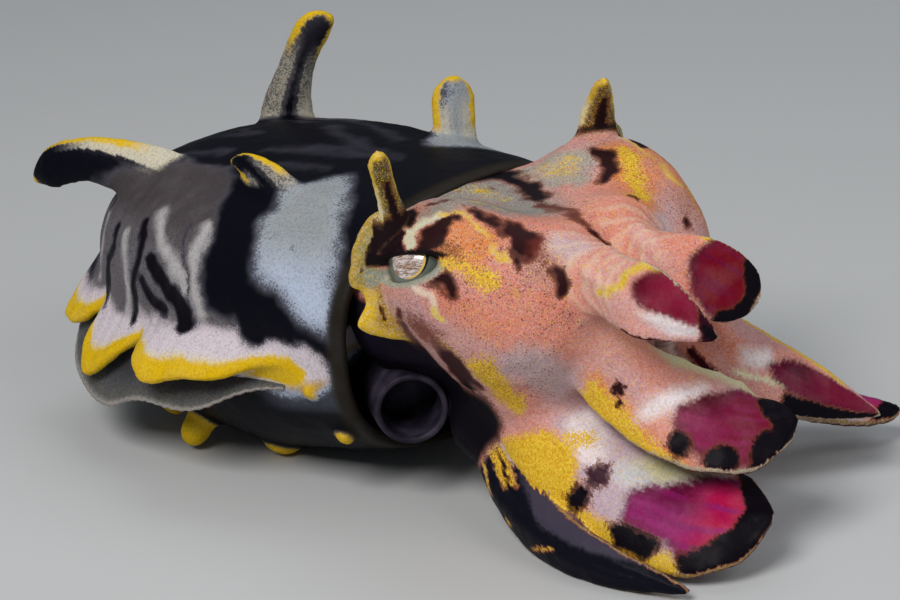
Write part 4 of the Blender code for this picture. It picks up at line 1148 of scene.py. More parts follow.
def cheek_flap(side):
    """Grid and thickness of a thin flap along the cheek, notched into two lobes."""
    t = np.linspace(0, 1, 70)
    root = smooth_through(CHEEK_ROOT, t) * [-side, 1, 1]
    edge = smooth_through(CHEEK_EDGE, t) * [-side, 1, 1]
    notch = np.exp(-(((t - CHEEK_NOTCH) / CHEEK_NOTCH_WIDTH) ** 2))
    ends = np.sqrt(np.clip(np.sin(np.pi * (0.06 + 0.88 * t)) * 1.6, 0, 1))
    crinkle = 1 + 0.06 * drift(np.stack([t * 14, t * 0 + side], 1), 1.0)
    across = np.linspace(0, 1, 22)
    reach = across[None, :, None] * ((1 - CHEEK_NOTCH_DEPTH * notch) * ends * crinkle)[:, None, None]
    grid = root[:, None] * (1 - reach) + edge[:, None] * reach
    thickness = CHEEK_THICKNESS[0] + (CHEEK_THICKNESS[1] - CHEEK_THICKNESS[0]) * across
    return t, across, grid, thickness[None, :]


SALMON = tone(222, 134, 112)
ROSE = tone(220, 160, 152)
LILAC = tone(190, 166, 178)
APRICOT = tone(222, 132, 70)
MAROON = tone(52, 8, 26)
BROWN = tone(40, 16, 18)
PLUM_BLACK = tone(12, 7, 16)
PINK_WHITE = tone(238, 226, 228)
GREEN_WHITE = tone(206, 204, 160)
SUCKER_PALE = tone(206, 186, 178)

skull = head()
for side in (-1, 1):
    out = eye_opening(side, np.linspace(0, 2 * np.pi, 60, endpoint=False))
    centre = mirrored(side, EYE_CENTRE)
    carve(skull, closed_loft("window", [centre + out * reach for reach in LID_WINDOW]))
solids = [skull]
forms = []
for number, shape in enumerate([*ARMS.values(), *BROW_PAPILLAE.values()]):
    is_arm = number < len(ARMS)
    solids.append(blade("leaf", shape, *(ARM_GRID if is_arm else BROW_GRID)))
    forms.append(leaf_samples(number, shape, *(ARM_SAMPLES if is_arm else BROW_SAMPLES)))
for side in (-1, 1):
    t, across, grid, thickness = cheek_flap(side)
    solids.append(thick_sheet("cheek", grid, thickness))
    forms.append(sheet_samples(CHEEK, grid, t, across))
    solids.append(eyelids(side))

crown = one_skin("head_skin", solids, HEAD_CELL)
points = points_of(crown)
from_eye = np.minimum(*[np.linalg.norm(points - mirrored(side, EYE_CENTRE), axis=1) for side in (-1, 1)])
free = fade(from_eye - EYE_RADIUS, 1.0, 2.0)  # 0 on the lids, which keep their shape
relax(crown, weight=0.5 * free, rounds=4)
height = head_field(points_of(crown))
root = np.exp(-(((height - 0.3) / 1.6) ** 2)) * free
relax(crown, weight=0.6 * root, rounds=30)

points = points_of(crown)
x, y, z = points.T
height = head_field(points)
part, along, across, face, gap = grown_from(points, forms)
off_head = fade(height, 0.2, 1.6)
close = fade(gap, 2.0, 1.2)
on_head = 1 - off_head * close * (part < CHEEK)
wobble = scatter(points, size=1.6, seed=1)
ragged = scatter(points, size=0.5, seed=4)
spot_place = points + wobble * 0.7 + ragged * 0.28
folded = np.stack([-np.abs(x), y, z], 1)  # the left side laid over the right one
folded_place = folded + wobble * 0.7 + ragged * 0.28

paint = Paint(len(points), SALMON, BROWN)
paint.wash(fade(drift(points, 6, seed=7), -0.8, 0.8) * 0.8, ROSE)
paint.wash(fade(drift(points, 5, seed=8), -0.3, 0.7) * 0.5, LILAC)
paint.spots(0.3 + 0.06 * drift(points, 3.0, seed=9), tone(130, 56, 40))
paint.specks(0.16 + 0.1 * drift(points, 4.0, seed=10))
paint.clear((part < len(ARMS)) * close * fade(along, 0.1, 0.3), 0.16)

# Marks of the head: lines through points, their width and their paint. Those on "both" sides are given for
# the right one, and the others are each in "one" place.
HEAD_WASHES = [
    # The grey crown, from the right brow back
    ("one", [(-12.5, -1.0, 31.4), (-10.1, 0.0, 31.7), (-7.2, -3.2, 30.7), (-4, -2.6, 29.3)], 4.0,
     tone(146, 138, 130)),
    ("one", [(-10, 6, 29.6), (-3.7, 8.4, 28.7), (-0.4, 5.6, 28.7), (-0.6, 1.4, 28.6), (-2.8, -2.3, 28.9)],
     6.5, tone(142, 142, 138)),
    # The left brow
    ("one", [(5.5, 5.5, 28.9), (6.3, 3.9, 29.7), (6.6, 2.0, 30.4), (7.0, -0.1, 30.9)], 3.6,
     tone(176, 170, 158)),
    ("one", [(3.9, 2.4, 28.9), (4.5, 0.3, 29.3), (5.1, -1.8, 29.8)], 2.6, tone(166, 158, 148)),
    ("one", [(10.1, -3.1, 31.4), (8.9, -5.1, 30.6), (7.8, -6.7, 29.7), (5.9, -8.6, 29.1)], 4.4, APRICOT),
    # The sides of the head and the roots of the arms
    ("both", [(-15.4, -3.4, 29.0), (-14.2, -5.8, 28.7), (-13.2, -4.0, 30), (-12.4, -6, 29.6)], 3.0, APRICOT),
    ("one", [(11.5, -5.5, 29.5), (13, -7, 27), (13.5, -9, 24)], 6.0, tone(226, 140, 98)),
    ("both", [(-16.6, -4.2, 24.9), (-15.5, -6.9, 24.2), (-14.4, -9.4, 22.5)], 3.6, tone(228, 138, 114)),
    ("both", [(-7.9, -11.2, 28.5), (-6.3, -12.1, 28.2), (-6, -13, 27.1)], 3.2, tone(204, 172, 178)),
    ("both", [(-13.0, -10.4, 18.5), (-11.7, -11.4, 18.0), (-9.5, -11.6, 16.0)], 4.4, tone(196, 168, 172)),
    ("both", [(-10.0, -10.6, 27.8), (-9.9, -11.2, 27.2)], 3.4, tone(196, 140, 130)),
]
HEAD_SPECKS = [
    # Before each eye and down the cheek
    ("both", [(-15.6, -4.2, 28.1), (-15.1, -5.3, 28.0), (-14.5, -6.5, 27.7), (-13.9, -7.8, 27.0)], 1.7, 0.9),
    ("both", [(-15.4, -3.4, 29.0), (-14.2, -5.8, 28.7)], 2.6, 0.4),
    ("both", [(-14.5, -6.8, 18.0), (-13.8, -7.3, 16.9), (-12.8, -7.4, 15.3), (-12.1, -7.7, 14.4)], 3.4, 0.85),
    ("both", [(-15.9, -3.6, 20.4), (-15.3, -4.8, 19)], 2.0, 0.45),
    # The crown and the left brow
    ("one", [(-2.0, 7.7, 28.8), (-1.3, 7.0, 28.8), (-1.0, 5.5, 28.7), (-1.2, 2.2, 28.6)], 3.0, 0.35),
    ("one", [(5.8, 3.1, 29.6), (5.9, 1.8, 30.0), (5.6, 0.2, 30.0)], 2.6, 0.5),
    ("one", [(10.1, -3.1, 31.4), (8.9, -5.1, 30.6), (7.8, -6.7, 29.7), (5.9, -8.6, 29.1)], 2.0, 0.95),
]
HEAD_SPOTS = [
    # Over, before and below each eye
    ("both", [(-12.8, 3.0, 30.8), (-13.5, 4.7, 29.7), (-15, 3.5, 29.1), (-15.6, 3.5, 28.2)], 2.4, 1.2, 1,
     tone(30, 14, 20)),
    ("both", [(-14, 2.2, 30.5), (-15.4, 1.6, 29.5), (-15.8, 1.8, 28.9), (-15.9, 2.8, 28.4)], 3.4, 1.2, 1,
     tone(30, 14, 20)),
    ("both", [(-15.6, -1.4, 29.2), (-14.8, -1.9, 30.1), (-13.6, -2.1, 30.8), (-12.8, -2.2, 31.1)], 2.5, 1.2,
     1, tone(40, 16, 16)),
    ("both", [(-15.2, -3.0, 29.4), (-14.4, -4.6, 29.2)], 3.0, 3.0, 0.55, BROWN),
    ("both", [(-16.3, -2.9, 27.5), (-16.3, -3.8, 27.0), (-16.1, -4.8, 26.3), (-16.0, -5.2, 25.8)], 2.0, 1.8,
     1, BROWN),
    ("both", [(-17.2, -0.1, 25.6)], 1.0, 0.8, 1, PLUM_BLACK),
    ("both", [(-16.6, 3.0, 23.4)], 0.9, 0.8, 0.9, tone(50, 32, 12)),
    ("both", [(-16.3, 1.4, 21.6), (-16.2, 1.2, 22.6)], 1.5, 1.3, 0.95, BROWN),
    # Down each cheek and forward to the arms
    ("both", [(-16.4, -1.0, 21.4), (-16.1, -2.2, 20.6), (-15.6, -3.2, 19.5), (-15.1, -4.0, 18.5)], 3.4, 3.6,
     0.72, tone(112, 40, 30)),
    ("both", [(-15.2, -3.4, 18.4), (-14.4, -3.6, 17.0), (-13.2, -3.2, 15.4)], 3.6, 1.6, 0.95,
     tone(58, 28, 30)),
    ("both", [(-13.4, 1, 16.4), (-12, 2, 14)], 3.0, 2.0, 1, PLUM_BLACK),
    ("both", [(-9.6, -10.5, 28), (-10.8, -12.3, 24.8), (-9.7, -13.6, 22.8)], 2.5, 3.0, 0.42,
     tone(130, 66, 50)),
    # From the right brow to the roots of the arms
    ("one", [(-10.5, -3.4, 31.3), (-10.2, -4.6, 30.9), (-9.9, -5.8, 30.5), (-9.7, -6.8, 30.1)], 1.6, 1.4,
     0.95, BROWN),
    ("one", [(-9.7, -6.8, 30.1), (-9.4, -7.8, 29.6), (-9.8, -8.8, 29.0), (-10.5, -8.8, 28.8)], 3.0, 1.8, 1,
     tone(48, 18, 20)),
    ("one", [(-11.3, -9.0, 28.3), (-11.8, -9.6, 27.4)], 1.1, 1.1, 1, BROWN),
    ("one", [(-9, -10, 28.6), (-10.0, -10.6, 27.8), (-9.9, -11.2, 27.2)], 1.6, 2.6, 0.6, tone(100, 40, 34)),
    ("both", [(-9.4, -12.3, 26.3), (-9.6, -12.6, 25.8)], 2.0, 1.3, 1, tone(46, 16, 20)),
    # The crown and the left brow
    ("one", [(-2.7, -10.6, 28.6), (-3.0, -11.6, 28.0), (-2.9, -12.0, 27.4)], 1.4, 1.2, 1, BROWN),
    ("one", [(-1.0, -1.7, 28.8), (-1.3, -4.1, 28.9), (-2.2, -7.2, 29.2), (-2.8, -9.6, 29.1)], 1.8, 2.0, 0.85,
     tone(84, 32, 28)),
    ("one", [(4.4, 8.9, 28.6), (3.6, 6.1, 28.7), (2.8, 3.4, 28.6), (2.0, 1.3, 28.7), (0.6, -0.6, 28.8)], 2.6,
     2.0, 1, tone(26, 16, 20)),
    ("one", [(-2.9, 8.5, 28.7), (-1.6, 6.2, 28.8), (0, 4.9, 28.7)], 0.7, 0.9, 0.8, tone(30, 26, 32)),
    ("one", [(-11.5, 1.4, 31.4), (-10.1, 0.0, 31.7), (-10.2, -1.8, 31.6), (-9.9, -3.0, 31.4)], 0.8, 0.9, 0.9,
     tone(34, 24, 26)),
    ("one", [(-7.5, 0.4, 30.8), (-6, -1.6, 30.3), (-6.4, -4.2, 30.2)], 0.7, 1.0, 0.7, tone(60, 40, 40)),
    ("one", [(8.5, -1.1, 31.4), (8.2, -2.4, 31.2), (7.3, -3.9, 30.5), (6.1, -4.2, 29.9)], 2.1, 1.7, 1, BROWN),
    ("one", [(9.6, -0.4, 31.6), (8.9, -2.6, 31.2)], 1.2, 1.6, 0.6, BROWN),
    ("one", [(4.8, -9.4, 29.2)], 1.1, 1.0, 1, tone(60, 48, 22)),
    ("one", [(1, 9.5, 28.6), (4, 7.2, 28.7)], 4.0, 3.0, 1, PLUM_BLACK),
    ("one", [(-10, 9, 28.4), (-6, 10.4, 28.4), (0, 10.4, 28.4)], 1.6, 1.6, 1, PLUM_BLACK),
]
HEAD_LINES = [
    # The pale bar over each eye, the yellow arc before it, and a painted highlight below each eye, white-pink
    # and then yellow
    ("both", [(-16.0, 0.1, 28.9), (-15.1, 0.2, 29.9), (-14.3, 0.1, 30.6), (-13.4, -0.4, 31.1),
              (-12.5, -1.0, 31.4)], 1.2, tone(206, 204, 176)),
    ("both", [(-12.5, -0.9, 31.4), (-12.1, -1.5, 31.5), (-11.8, -2.9, 31.3), (-12.0, -4.7, 30.6),
              (-12.1, -6.5, 29.5), (-11.9, -7.9, 28.7), (-12.1, -8.6, 28.1)], 0.8, tone(224, 184, 60)),
    ("both", [(-12.9, -8.7, 27.3), (-12.7, -9.5, 26.6), (-12.5, -10.3, 25.8)], 0.5, tone(200, 160, 60)),
    # Painted highlight below each eye: a white-pink streak that runs into a yellow end
    ("both", [(-16.9, -1.6, 26.4), (-16.9, -2.5, 25.9), (-16.9, -3.2, 25.0), (-16.6, -3.7, 23.8)], 1.1,
     tone(236, 212, 190)),
    ("both", [(-16.7, -3.5, 24.2), (-16.5, -4.1, 22.9)], 0.9, tone(236, 206, 90)),
    # Thin lines of the crown and the left brow
    ("one", [(-2.4, 8.2, 28.8), (-1.4, 7.0, 28.8), (-1.0, 5.5, 28.7)], 0.8, tone(176, 150, 30)),
    ("one", [(-1.4, 3.7, 28.6), (-1.2, 2.2, 28.6), (-0.5, 1.0, 28.6)], 0.6, tone(160, 148, 70)),
    ("one", [(-8.6, -1.4, 31.2), (-7.4, -3, 30.8), (-6.7, -4.6, 30.3)], 0.5, tone(190, 170, 80)),
    ("one", [(6.8, 2.4, 30.1), (7, 0.2, 30.6)], 0.5, LEMON),
]


def head_mark(sides, path, width, soft):
    """1 on a mark of the head's skin, on both sides or in one place."""
    return stroke(folded_place if sides == "both" else spot_place, path, width, soft) * on_head


for sides, path, width, colour in HEAD_WASHES:
    paint.wash(head_mark(sides, path, width, width * 0.6), colour)
for sides, path, width, amount in HEAD_SPECKS:
    paint.specks(head_mark(sides, path, width, 2.2) * amount)
for sides, path, width, soft, cover, colour in HEAD_SPOTS:
    paint.spots(head_mark(sides, path, width, soft), colour, cover)
for sides, path, width, colour in HEAD_LINES:
    mark = head_mark(sides, path, width, 0.5)
    paint.wash(mark, colour)
    paint.clear(mark, 0.12)

# Painted shade: the skin behind the cheeks, round the neck and under the head is painted nearly black, as the
# shade that falls there
nape_shade = fade(z, 22.6, 21.0) * fade(y + (21 - z) * 0.25, 0.2, 1.6) * on_head
neck_shade = fade(y - 5 * fade(z, 24.5, 27.5), 3.0, 6.0) * fade(height, -1.5, -0.5)
below = fade(z, 16.5, 12.5) * fade(y, -7, -4) * on_head
paint.spots(nape_shade, tone(26, 20, 34))
paint.spots(neck_shade * (part != CHEEK), PLUM_BLACK)
paint.spots(below * 0.95, PLUM_BLACK)
paint.unspeck(neck_shade)

# Marks of the arms, as shares along and across each arm: the outline of an area or, with a width, the
# middle line of a stroke. The third and the fourth pair are marked alike on both sides.
ARM_WASHES = {
    "arm_1_right": [
        ([(0.2, 0), (0.5, 0.1), (0.75, 0.3)], 4.0, ROSE),
        ([(0.5, 0.3), (0.55, 0.1), (0.6, -0.2), (0.61, -0.6), (0.66, -0.9), (0.75, -1.05)], 1.3, LEMON),
        ([(0.72, 0.3), (0.8, 0.1), (0.93, -0.1), (0.95, 0.5), (0.84, 0.7)], None, PINK_WHITE),
    ],
    "arm_1_left": [
        ([(0.2, 0), (0.5, 0)], 4.0, ROSE),
        ([(0.72, -1), (0.84, -1.05)], 0.9, LEMON),
    ],
    "arm_2_right": [
        ([(0.3, 0.7), (0.39, 1.1), (0.62, 1.1), (0.68, 0.93), (0.58, 0.8), (0.46, 0.6), (0.34, 0.45)], None,
         APRICOT),
        ([(0.34, 1.02), (0.5, 1.05), (0.66, 1.05)], 0.9, LEMON),
        ([(0.5, 0.75), (0.5, 0.4), (0.55, -0.05), (0.64, -0.45), (0.67, -0.35), (0.62, 0), (0.57, 0.45)],
         None, PINK_WHITE),
        ([(0.41, -0.85), (0.51, -1.1), (0.67, -1.1), (0.88, -1), (0.86, -0.6), (0.76, -0.66), (0.62, -0.68),
          (0.51, -0.6)], None, GREEN_WHITE),
    ],
    "arm_2_left": [
        ([(0.3, 0.2), (0.45, 0.3)], 3.0, SALMON),
        ([(0.45, 0.2), (0.54, -0.35), (0.58, 0.1), (0.47, 0.5)], None, PINK_WHITE),
        ([(0.42, -0.9), (0.62, -0.95), (0.84, -0.9)], 1.3, LEMON),
        ([(0.48, 0.68), (0.58, 0.45), (0.66, 0.34)], 0.7, CREAM),
    ],
    "arm_3": [
        ([(0.12, -1.1), (0.2, 0.5), (0.44, 0.9), (0.6, 1.1), (0.8, 1.1), (0.8, -1.1)], None,
         tone(196, 172, 186)),
        ([(0.35, -0.3), (0.42, 0.05)], 2.6, PINK_WHITE),
        ([(0.53, 0.0), (0.6, -0.2)], 2.2, tone(206, 208, 214)),
        ([(0.0, 1.0), (0.08, 0.45), (0.23, 0.25), (0.38, 0.15), (0.43, 0.53), (0.49, 0.75), (0.6, 0.95),
          (0.56, 1.1), (0.1, 1.1)], None, APRICOT),
        ([(0.52, -0.2), (0.54, -0.5), (0.68, -0.8), (0.8, -0.78), (0.69, -0.42), (0.59, -0.1)], None,
         GREEN_WHITE),
        ([(0.44, 0.9), (0.52, 0.96), (0.72, 0.98)], 1.7, LEMON),
    ],
    "arm_4": [
        ([(0.06, 0.2), (0.15, -0.25), (0.2, -0.2), (0.27, -0.13), (0.32, 0.0), (0.38, 0.35)], 0.7, LEMON),
        ([(0.25, -0.5), (0.33, -0.45), (0.41, -0.3)], 1.0, tone(190, 140, 24)),
        ([(0.29, -0.68), (0.37, -0.68), (0.44, -0.55)], 0.9, tone(190, 140, 24)),
        ([(0.46, 0.65)], 1.1, LEMON),
        ([(0.57, 0.75), (0.61, 0.4), (0.65, 0.1)], 0.5, LEMON),
    ],
}
ARM_MAGENTA = {
    "arm_1_right": [(0.65, -0.45), (0.75, -1.15), (0.86, -1.15), (0.93, -0.6), (0.91, 0), (0.8, 0.1),
                    (0.73, 0.15), (0.68, -0.05)],
    "arm_1_left": [(0.7, -0.2), (0.75, -1.1), (0.92, -1.15), (0.96, -0.1), (0.95, 0.8), (0.85, 0.9),
                   (0.75, 0.5)],
    "arm_2_right": [(0.59, 0.18), (0.67, -0.27), (0.78, -0.6), (0.9, -0.6), (0.94, 0.3), (0.92, 0.85),
                    (0.8, 0.99), (0.72, 0.93), (0.65, 0.75), (0.6, 0.53)],
    "arm_2_left": [(0.55, 0.18), (0.6, -0.35), (0.67, -0.55), (0.83, -0.7), (0.99, -0.75), (0.99, 0.5),
                   (0.78, 0.5), (0.65, 0.5)],
    "arm_3": [(0.55, 0.3), (0.59, -0.05), (0.72, -0.5), (0.87, -0.85), (0.95, -0.12), (0.92, 0.45),
              (0.84, 0.8), (0.74, 0.86), (0.67, 0.7), (0.57, 0.66)],
}
WEB_TONES = {  # its ground, its glow towards the middle, and the glow near its rim
    "arm_1_right": (tone(92, 10, 34), tone(144, 28, 62), tone(136, 24, 54)),
    "arm_1_left": (tone(70, 5, 24), tone(118, 12, 58), tone(122, 8, 30)),
    "arm_2_right": (tone(86, 16, 34), tone(136, 28, 78), tone(120, 20, 52)),
    "arm_2_left": (tone(84, 14, 40), tone(128, 30, 66), tone(118, 22, 52)),
    "arm_3": (tone(92, 14, 46), tone(150, 30, 108), tone(180, 18, 74)),
}
ARM_SPOTS = {
    "arm_1_right": [
        ([(0.87, -1.15), (1.05, -1.15), (1.05, 1.1), (0.95, 1.0), (0.945, 0.1), (0.9, -0.6)], None, MAROON),
        ([(0.97, -0.6), (1, 0.4)], 1.6, PLUM_BLACK),
        ([(0.66, 0.95), (0.86, 1)], 0.6, MAROON),
    ],
    "arm_1_left": [
        ([(0.87, -1.15), (1.05, -1.15), (1.05, 1.15), (0.86, 1.15), (0.86, 0.62), (0.92, 0.5), (0.93, -0.1),
          (0.88, -0.8)], None, PLUM_BLACK),
    ],
    "arm_2_right": [
        ([(0.42, 0.5)], 1.3, BROWN),
        ([(0.44, 0.68)], 0.6, BROWN),
        ([(0.645, 0.74)], 2.3, PLUM_BLACK),
        ([(0.76, 0.86)], 2.7, PLUM_BLACK),
        ([(0.86, 0.8), (0.88, 0.55)], 2.2, PLUM_BLACK),
        ([(0.86, -0.4), (0.92, -1.15), (1.05, -1.1), (1.05, 1.1), (0.86, 1.15), (0.82, 0.95), (0.845, 0.7),
          (0.89, 0.3)], None, PLUM_BLACK),
    ],
    "arm_2_left": [
        ([(0.64, 0.5), (0.78, 0.42), (0.93, 0.42), (1.05, -0.4), (1.05, 1.15), (0.8, 1.15), (0.66, 0.95)],
         None, PLUM_BLACK),
        ([(0.35, 0.9), (0.5, 1)], 0.8, MAROON),
    ],
    "arm_3": [
        ([(0.44, 0.36), (0.455, 0.06), (0.485, 0.0), (0.505, 0.3), (0.47, 0.5)], None, tone(62, 30, 44)),
        ([(0.43, 0.8), (0.43, 0.56), (0.47, 0.46), (0.49, 0.66), (0.46, 0.88)], None, PLUM_BLACK),
        ([(0.535, 0.8), (0.585, 0.6), (0.66, 0.62), (0.68, 0.8), (0.65, 1.0), (0.57, 1.0)], None, PLUM_BLACK),
        ([(0.8, -0.8), (0.86, -1.1), (1.05, -1.15), (1.05, 0.7), (0.95, 1.1), (0.75, 1.1), (0.72, 0.74),
          (0.79, 0.6), (0.86, 0.35), (0.9, -0.12), (0.85, -0.72)], None, PLUM_BLACK),
    ],
}
ARM_SPECKS = {
    "arm_2_right": [([(0.28, 0.7), (0.38, 1.1), (0.66, 1.1), (0.6, 0.86), (0.4, 0.6)], None, 0.8)],
    "arm_3": [
        ([(-0.05, 1.1), (-0.02, 0.4), (0.1, 0.25), (0.24, 0.2), (0.29, 0.38), (0.34, 0.2), (0.38, 0.1),
          (0.42, 0.4), (0.45, 0.73), (0.53, 0.84), (0.62, 0.94), (0.72, 0.94), (0.74, 1.1), (0.1, 1.1)],
         None, 1.0),
        ([(0.36, 0.1), (0.4, -0.14)], 1.2, 0.7),
    ],
    "arm_4": [([(0.25, -0.55), (0.33, -0.55), (0.42, -0.4)], 2.0, 0.8)],
}
ARM_FOURTH_VIOLET = [(0.44, -0.9), (0.6, -1.1), (0.9, -1.1), (0.78, -0.6), (0.6, -0.45)]
PALE_TIPPED = ("arm_1_left", "arm_2_left")
ARM_PLAN = np.array([30, 5])  # an arm's length and half its width, in the millimetres of its marks

arm_true = np.stack([along, across], 1) * ARM_PLAN
arm_at = arm_true + wobble[:, :2] * 0.28 + ragged[:, :2] * 0.07
streaks = drift(np.stack([along * 6, across * 12, part * 3.0], 1), 1.0, seed=3)
off_middle = np.abs(across)


def arm_mark(places, width, mirror, soft):
    """1 on a mark of an arm: the inside of an outline or, with a width, a stroke along a line."""
    places = np.array(places) * ARM_PLAN * [1, mirror]
    if width is None:
        return patch(arm_at, places, soft)
    return stroke(arm_at, places, width, min(soft, width * 0.6))


def paint_web(design, mirror, here):
    """The magenta web of an arm's tip, deep at its edge and glowing in streaks towards its middle and rim."""
    deep, glow, rim_glow = WEB_TONES[design]
    web = arm_mark(ARM_MAGENTA[design], None, mirror, 1.1) * here
    inside = arm_mark(ARM_MAGENTA[design], None, mirror, 5.0) * here
    outer = fade(along, 0.67, 0.81)
    inner_side = fade(across * mirror + 0.2 * streaks, -0.25, 0.45)
    paint.unspeck(web)
    paint.wash(web, deep)
    paint.clear(web, 0.06)
    paint.wash(fade(inside + 0.08 * streaks, 0.425, 0.775) * np.maximum(inner_side, outer), glow)
    paint.wash(fade(inside, 0.55, 0.85) * outer * fade(streaks, -0.9, 0.3), rim_glow)


for number, name in enumerate(ARMS):
    here = (part == number) * close * off_head * (face > 0)
    inner = (part == number) * close * off_head * (face < 0)
    design = name if name in ARM_WASHES else name[: len("arm_3")]
    mirror = -1 if design != name and name.endswith("left") else 1
    if design == "arm_4":
        paint.spots(here, tone(14, 14, 26))
        paint.spots(arm_mark(ARM_FOURTH_VIOLET, None, mirror, 2.0) * here, tone(66, 60, 76))
    for places, width, colour in ARM_WASHES[design]:
        mark = arm_mark(places, width, mirror, 1.6) * here
        paint.wash(mark, colour)
        paint.clear(mark, 0.3 if design == "arm_4" else 0.1)
    if design in ARM_MAGENTA:
        paint_web(design, mirror, here)
    for places, width, amount in ARM_SPECKS.get(design, []):
        paint.specks(arm_mark(places, width, mirror, 1.8) * here * amount)
    for places, width, colour in ARM_SPOTS.get(design, []):
        paint.spots(arm_mark(places, width, mirror, 1.1) * here, colour)
    border = fade(off_middle, 0.979, 0.991)
    if design in PALE_TIPPED:
        border = np.maximum(border, fade(along, 0.979, 0.991))
    pale_edge = here * border * fade(along, 0.45, 0.55)
    paint.wash(pale_edge, tone(150, 120, 60) if design in ("arm_3", "arm_4") else tone(188, 178, 150))
    paint.clear(pale_edge, 0.3)
    paint.wash(inner, SUCKER_PALE)
    paint.spots(inner * fade(along, 0.4, 0.7) * fade(off_middle, 0.3, 0.7) * 0.8, MAROON)

# The brow papillae are olive with a dark stripe and a yellow rim, and the cheek flaps yellow with dark dots
for number in range(len(ARMS), CHEEK):
    here = (part == number) * fade(height, 0.1, 0.9) * close
    paint.wash(here, tone(96, 84, 30))
    paint.specks(here * 0.3)
    rim = np.maximum(fade(off_middle, 0.72, 0.88), fade(along, 0.925, 0.975))
    rim = here * rim * fade(along - 0.2 * (across > 0), 0.18, 0.38)
    paint.wash(rim, LEMON)
    paint.wash(rim * (across < 0) * fade(along, 0.7, 0.4), CREAM)
    stripe = stroke(np.stack([along * 10, across * 1.6], 1), [(0, 0), (6.4, 0.1)], 1.3, soft=0.8)
    paint.spots(here * np.maximum(stripe, fade(along, 0.42, 0.26)), tone(30, 16, 20))
    paint.clear(rim, 0.08)
flap = (part == CHEEK) * fade(height, -0.1, 0.5) * fade(gap, 2.1, 1.5)
lower = fade(along, 0.47, 0.57)
outermost = fade(across + 0.05 * drift(points, 0.9, seed=6) + 0.14 * lower, 0.78, 0.94)
dots = fade(drift(points, 0.55, seed=7), 0.4, 0.6) * (1 - outermost)
paint.wash(flap, tone(158, 148, 84))
paint.wash(flap * lower, tone(176, 136, 40))
paint.wash(flap * outermost, tone(178, 148, 50))
paint.wash(flap * outermost * lower, LEMON)
paint.clear(flap, 0.12)
paint.spots(flap * dots * 0.9, tone(40, 26, 14))
paint.specks(flap * 0.22)

# The upper lid is dark along its edge, and the lower one is a pale ring. Reach and height are 1 at the edge
# of the opening.
lid_near = fade(from_eye - EYE_RADIUS, 2.6, 1.8)
for side in (-1, 1):
    look, ahead, up = eye_axes(side)
    away = points - mirrored(side, EYE_CENTRE)
    depth = np.maximum(away @ look, 0.3)
    high = (away @ up) / depth
    high /= np.where(high > 0, LID_OPENING[1], LID_OPENING[2])
    reach = np.hypot((away @ ahead) / depth / LID_OPENING[0], high)
    on_lid = lid_near * (x * side > 0)
    pale_ring = on_lid * fade(reach, 1.29, 1.15) * fade(high, 0.35, -0.15)
    paint.wash(pale_ring, tone(150, 156, 140))
    paint.clear(pale_ring, 0.1)
    paint.spots(on_lid * fade(reach, 1.5, 1.3) * fade(high, 0.1, 0.5), tone(22, 14, 18))

# Pale curls run over the stretched skin of the first pair of arms
CURL_TURN = (2.4, 4.6, -2.6)
first_pair = part < 2
curled = first_pair * close * (face > 0) * fade(along, 0.16, 0.28) * fade(along, 0.65, 0.55)
curls = np.sin(points @ CURL_TURN + 2.2 * drift(points, 1.3, seed=15))
curls = curls * fade(drift(points, 2.2, seed=16), -1.0, -0.2)
paint.wash(curled * fade(curls, -0.05, 0.65) * 0.4, tone(228, 204, 176))
paint.lay_on(crown)

# Fine relief, in millimetres: goose skin, folds along the arms, a low keel on the first pair, and the curls
relief = 0.06 * drift(points, 0.8, seed=12) + 0.08 * drift(points, 1.8, seed=13) * on_head
on_arm = (part < len(ARMS)) * close * off_head
relief += on_arm * 0.12 * np.sin(across * 9 + drift(points, 3, seed=14) * 2) * (1 - off_middle)
relief += on_arm * 0.18 * stroke(arm_true, [(6, 0), (24, 0)], 0.8, soft=1.2) * first_pair
relief += 0.07 * curls * curled
raise_skin(crown, relief * free)

finished(crown, "head", skin_material("head skin", grain=0.14, halo=(0.16, 0.035, 0.012, 1)), "head", *ARMS,
         "brow_papilla_right", "brow_papilla_left", "cheek_flap_right", "cheek_flap_left")


# The eyes: glassy balls that fill the cups between the lids. Each has a silvery iris with brown streaks, a
# gold rim in front of it and a narrow pupil, all under clear skin.

IRIS_PLACE = (0.18, 0.14, 0)  # its middle, ahead of the opening's and above it, for an eyeball of 1
IRIS_REACH = 0.475  # where the pupil lies
IRIS_STREAKS = (5.0, 17.0, 6.0)


def eye(name, side):
    """One eyeball, which carries the place of each point on the eye's face for the material."""
    bpy.ops.object.select_all(action="DESELECT")
    bpy.ops.mesh.primitive_uv_sphere_add(segments=128, ring_count=96, radius=EYE_RADIUS)
    piece = bpy.context.object
    piece.name = name
    set_points(piece, points_of(piece) + mirrored(side, EYE_CENTRE))
    away = (points_of(piece) - mirrored(side, EYE_CENTRE)) / EYE_RADIUS
    look, ahead, up = eye_axes(side)
    plan = np.stack([away @ ahead * side, away @ up, away @ look], 1) - IRIS_PLACE
    layer = piece.data.attributes.new("plan", "FLOAT_VECTOR", "POINT")
    layer.data.foreach_set("vector", plan.astype(np.float32).ravel())
    return piece


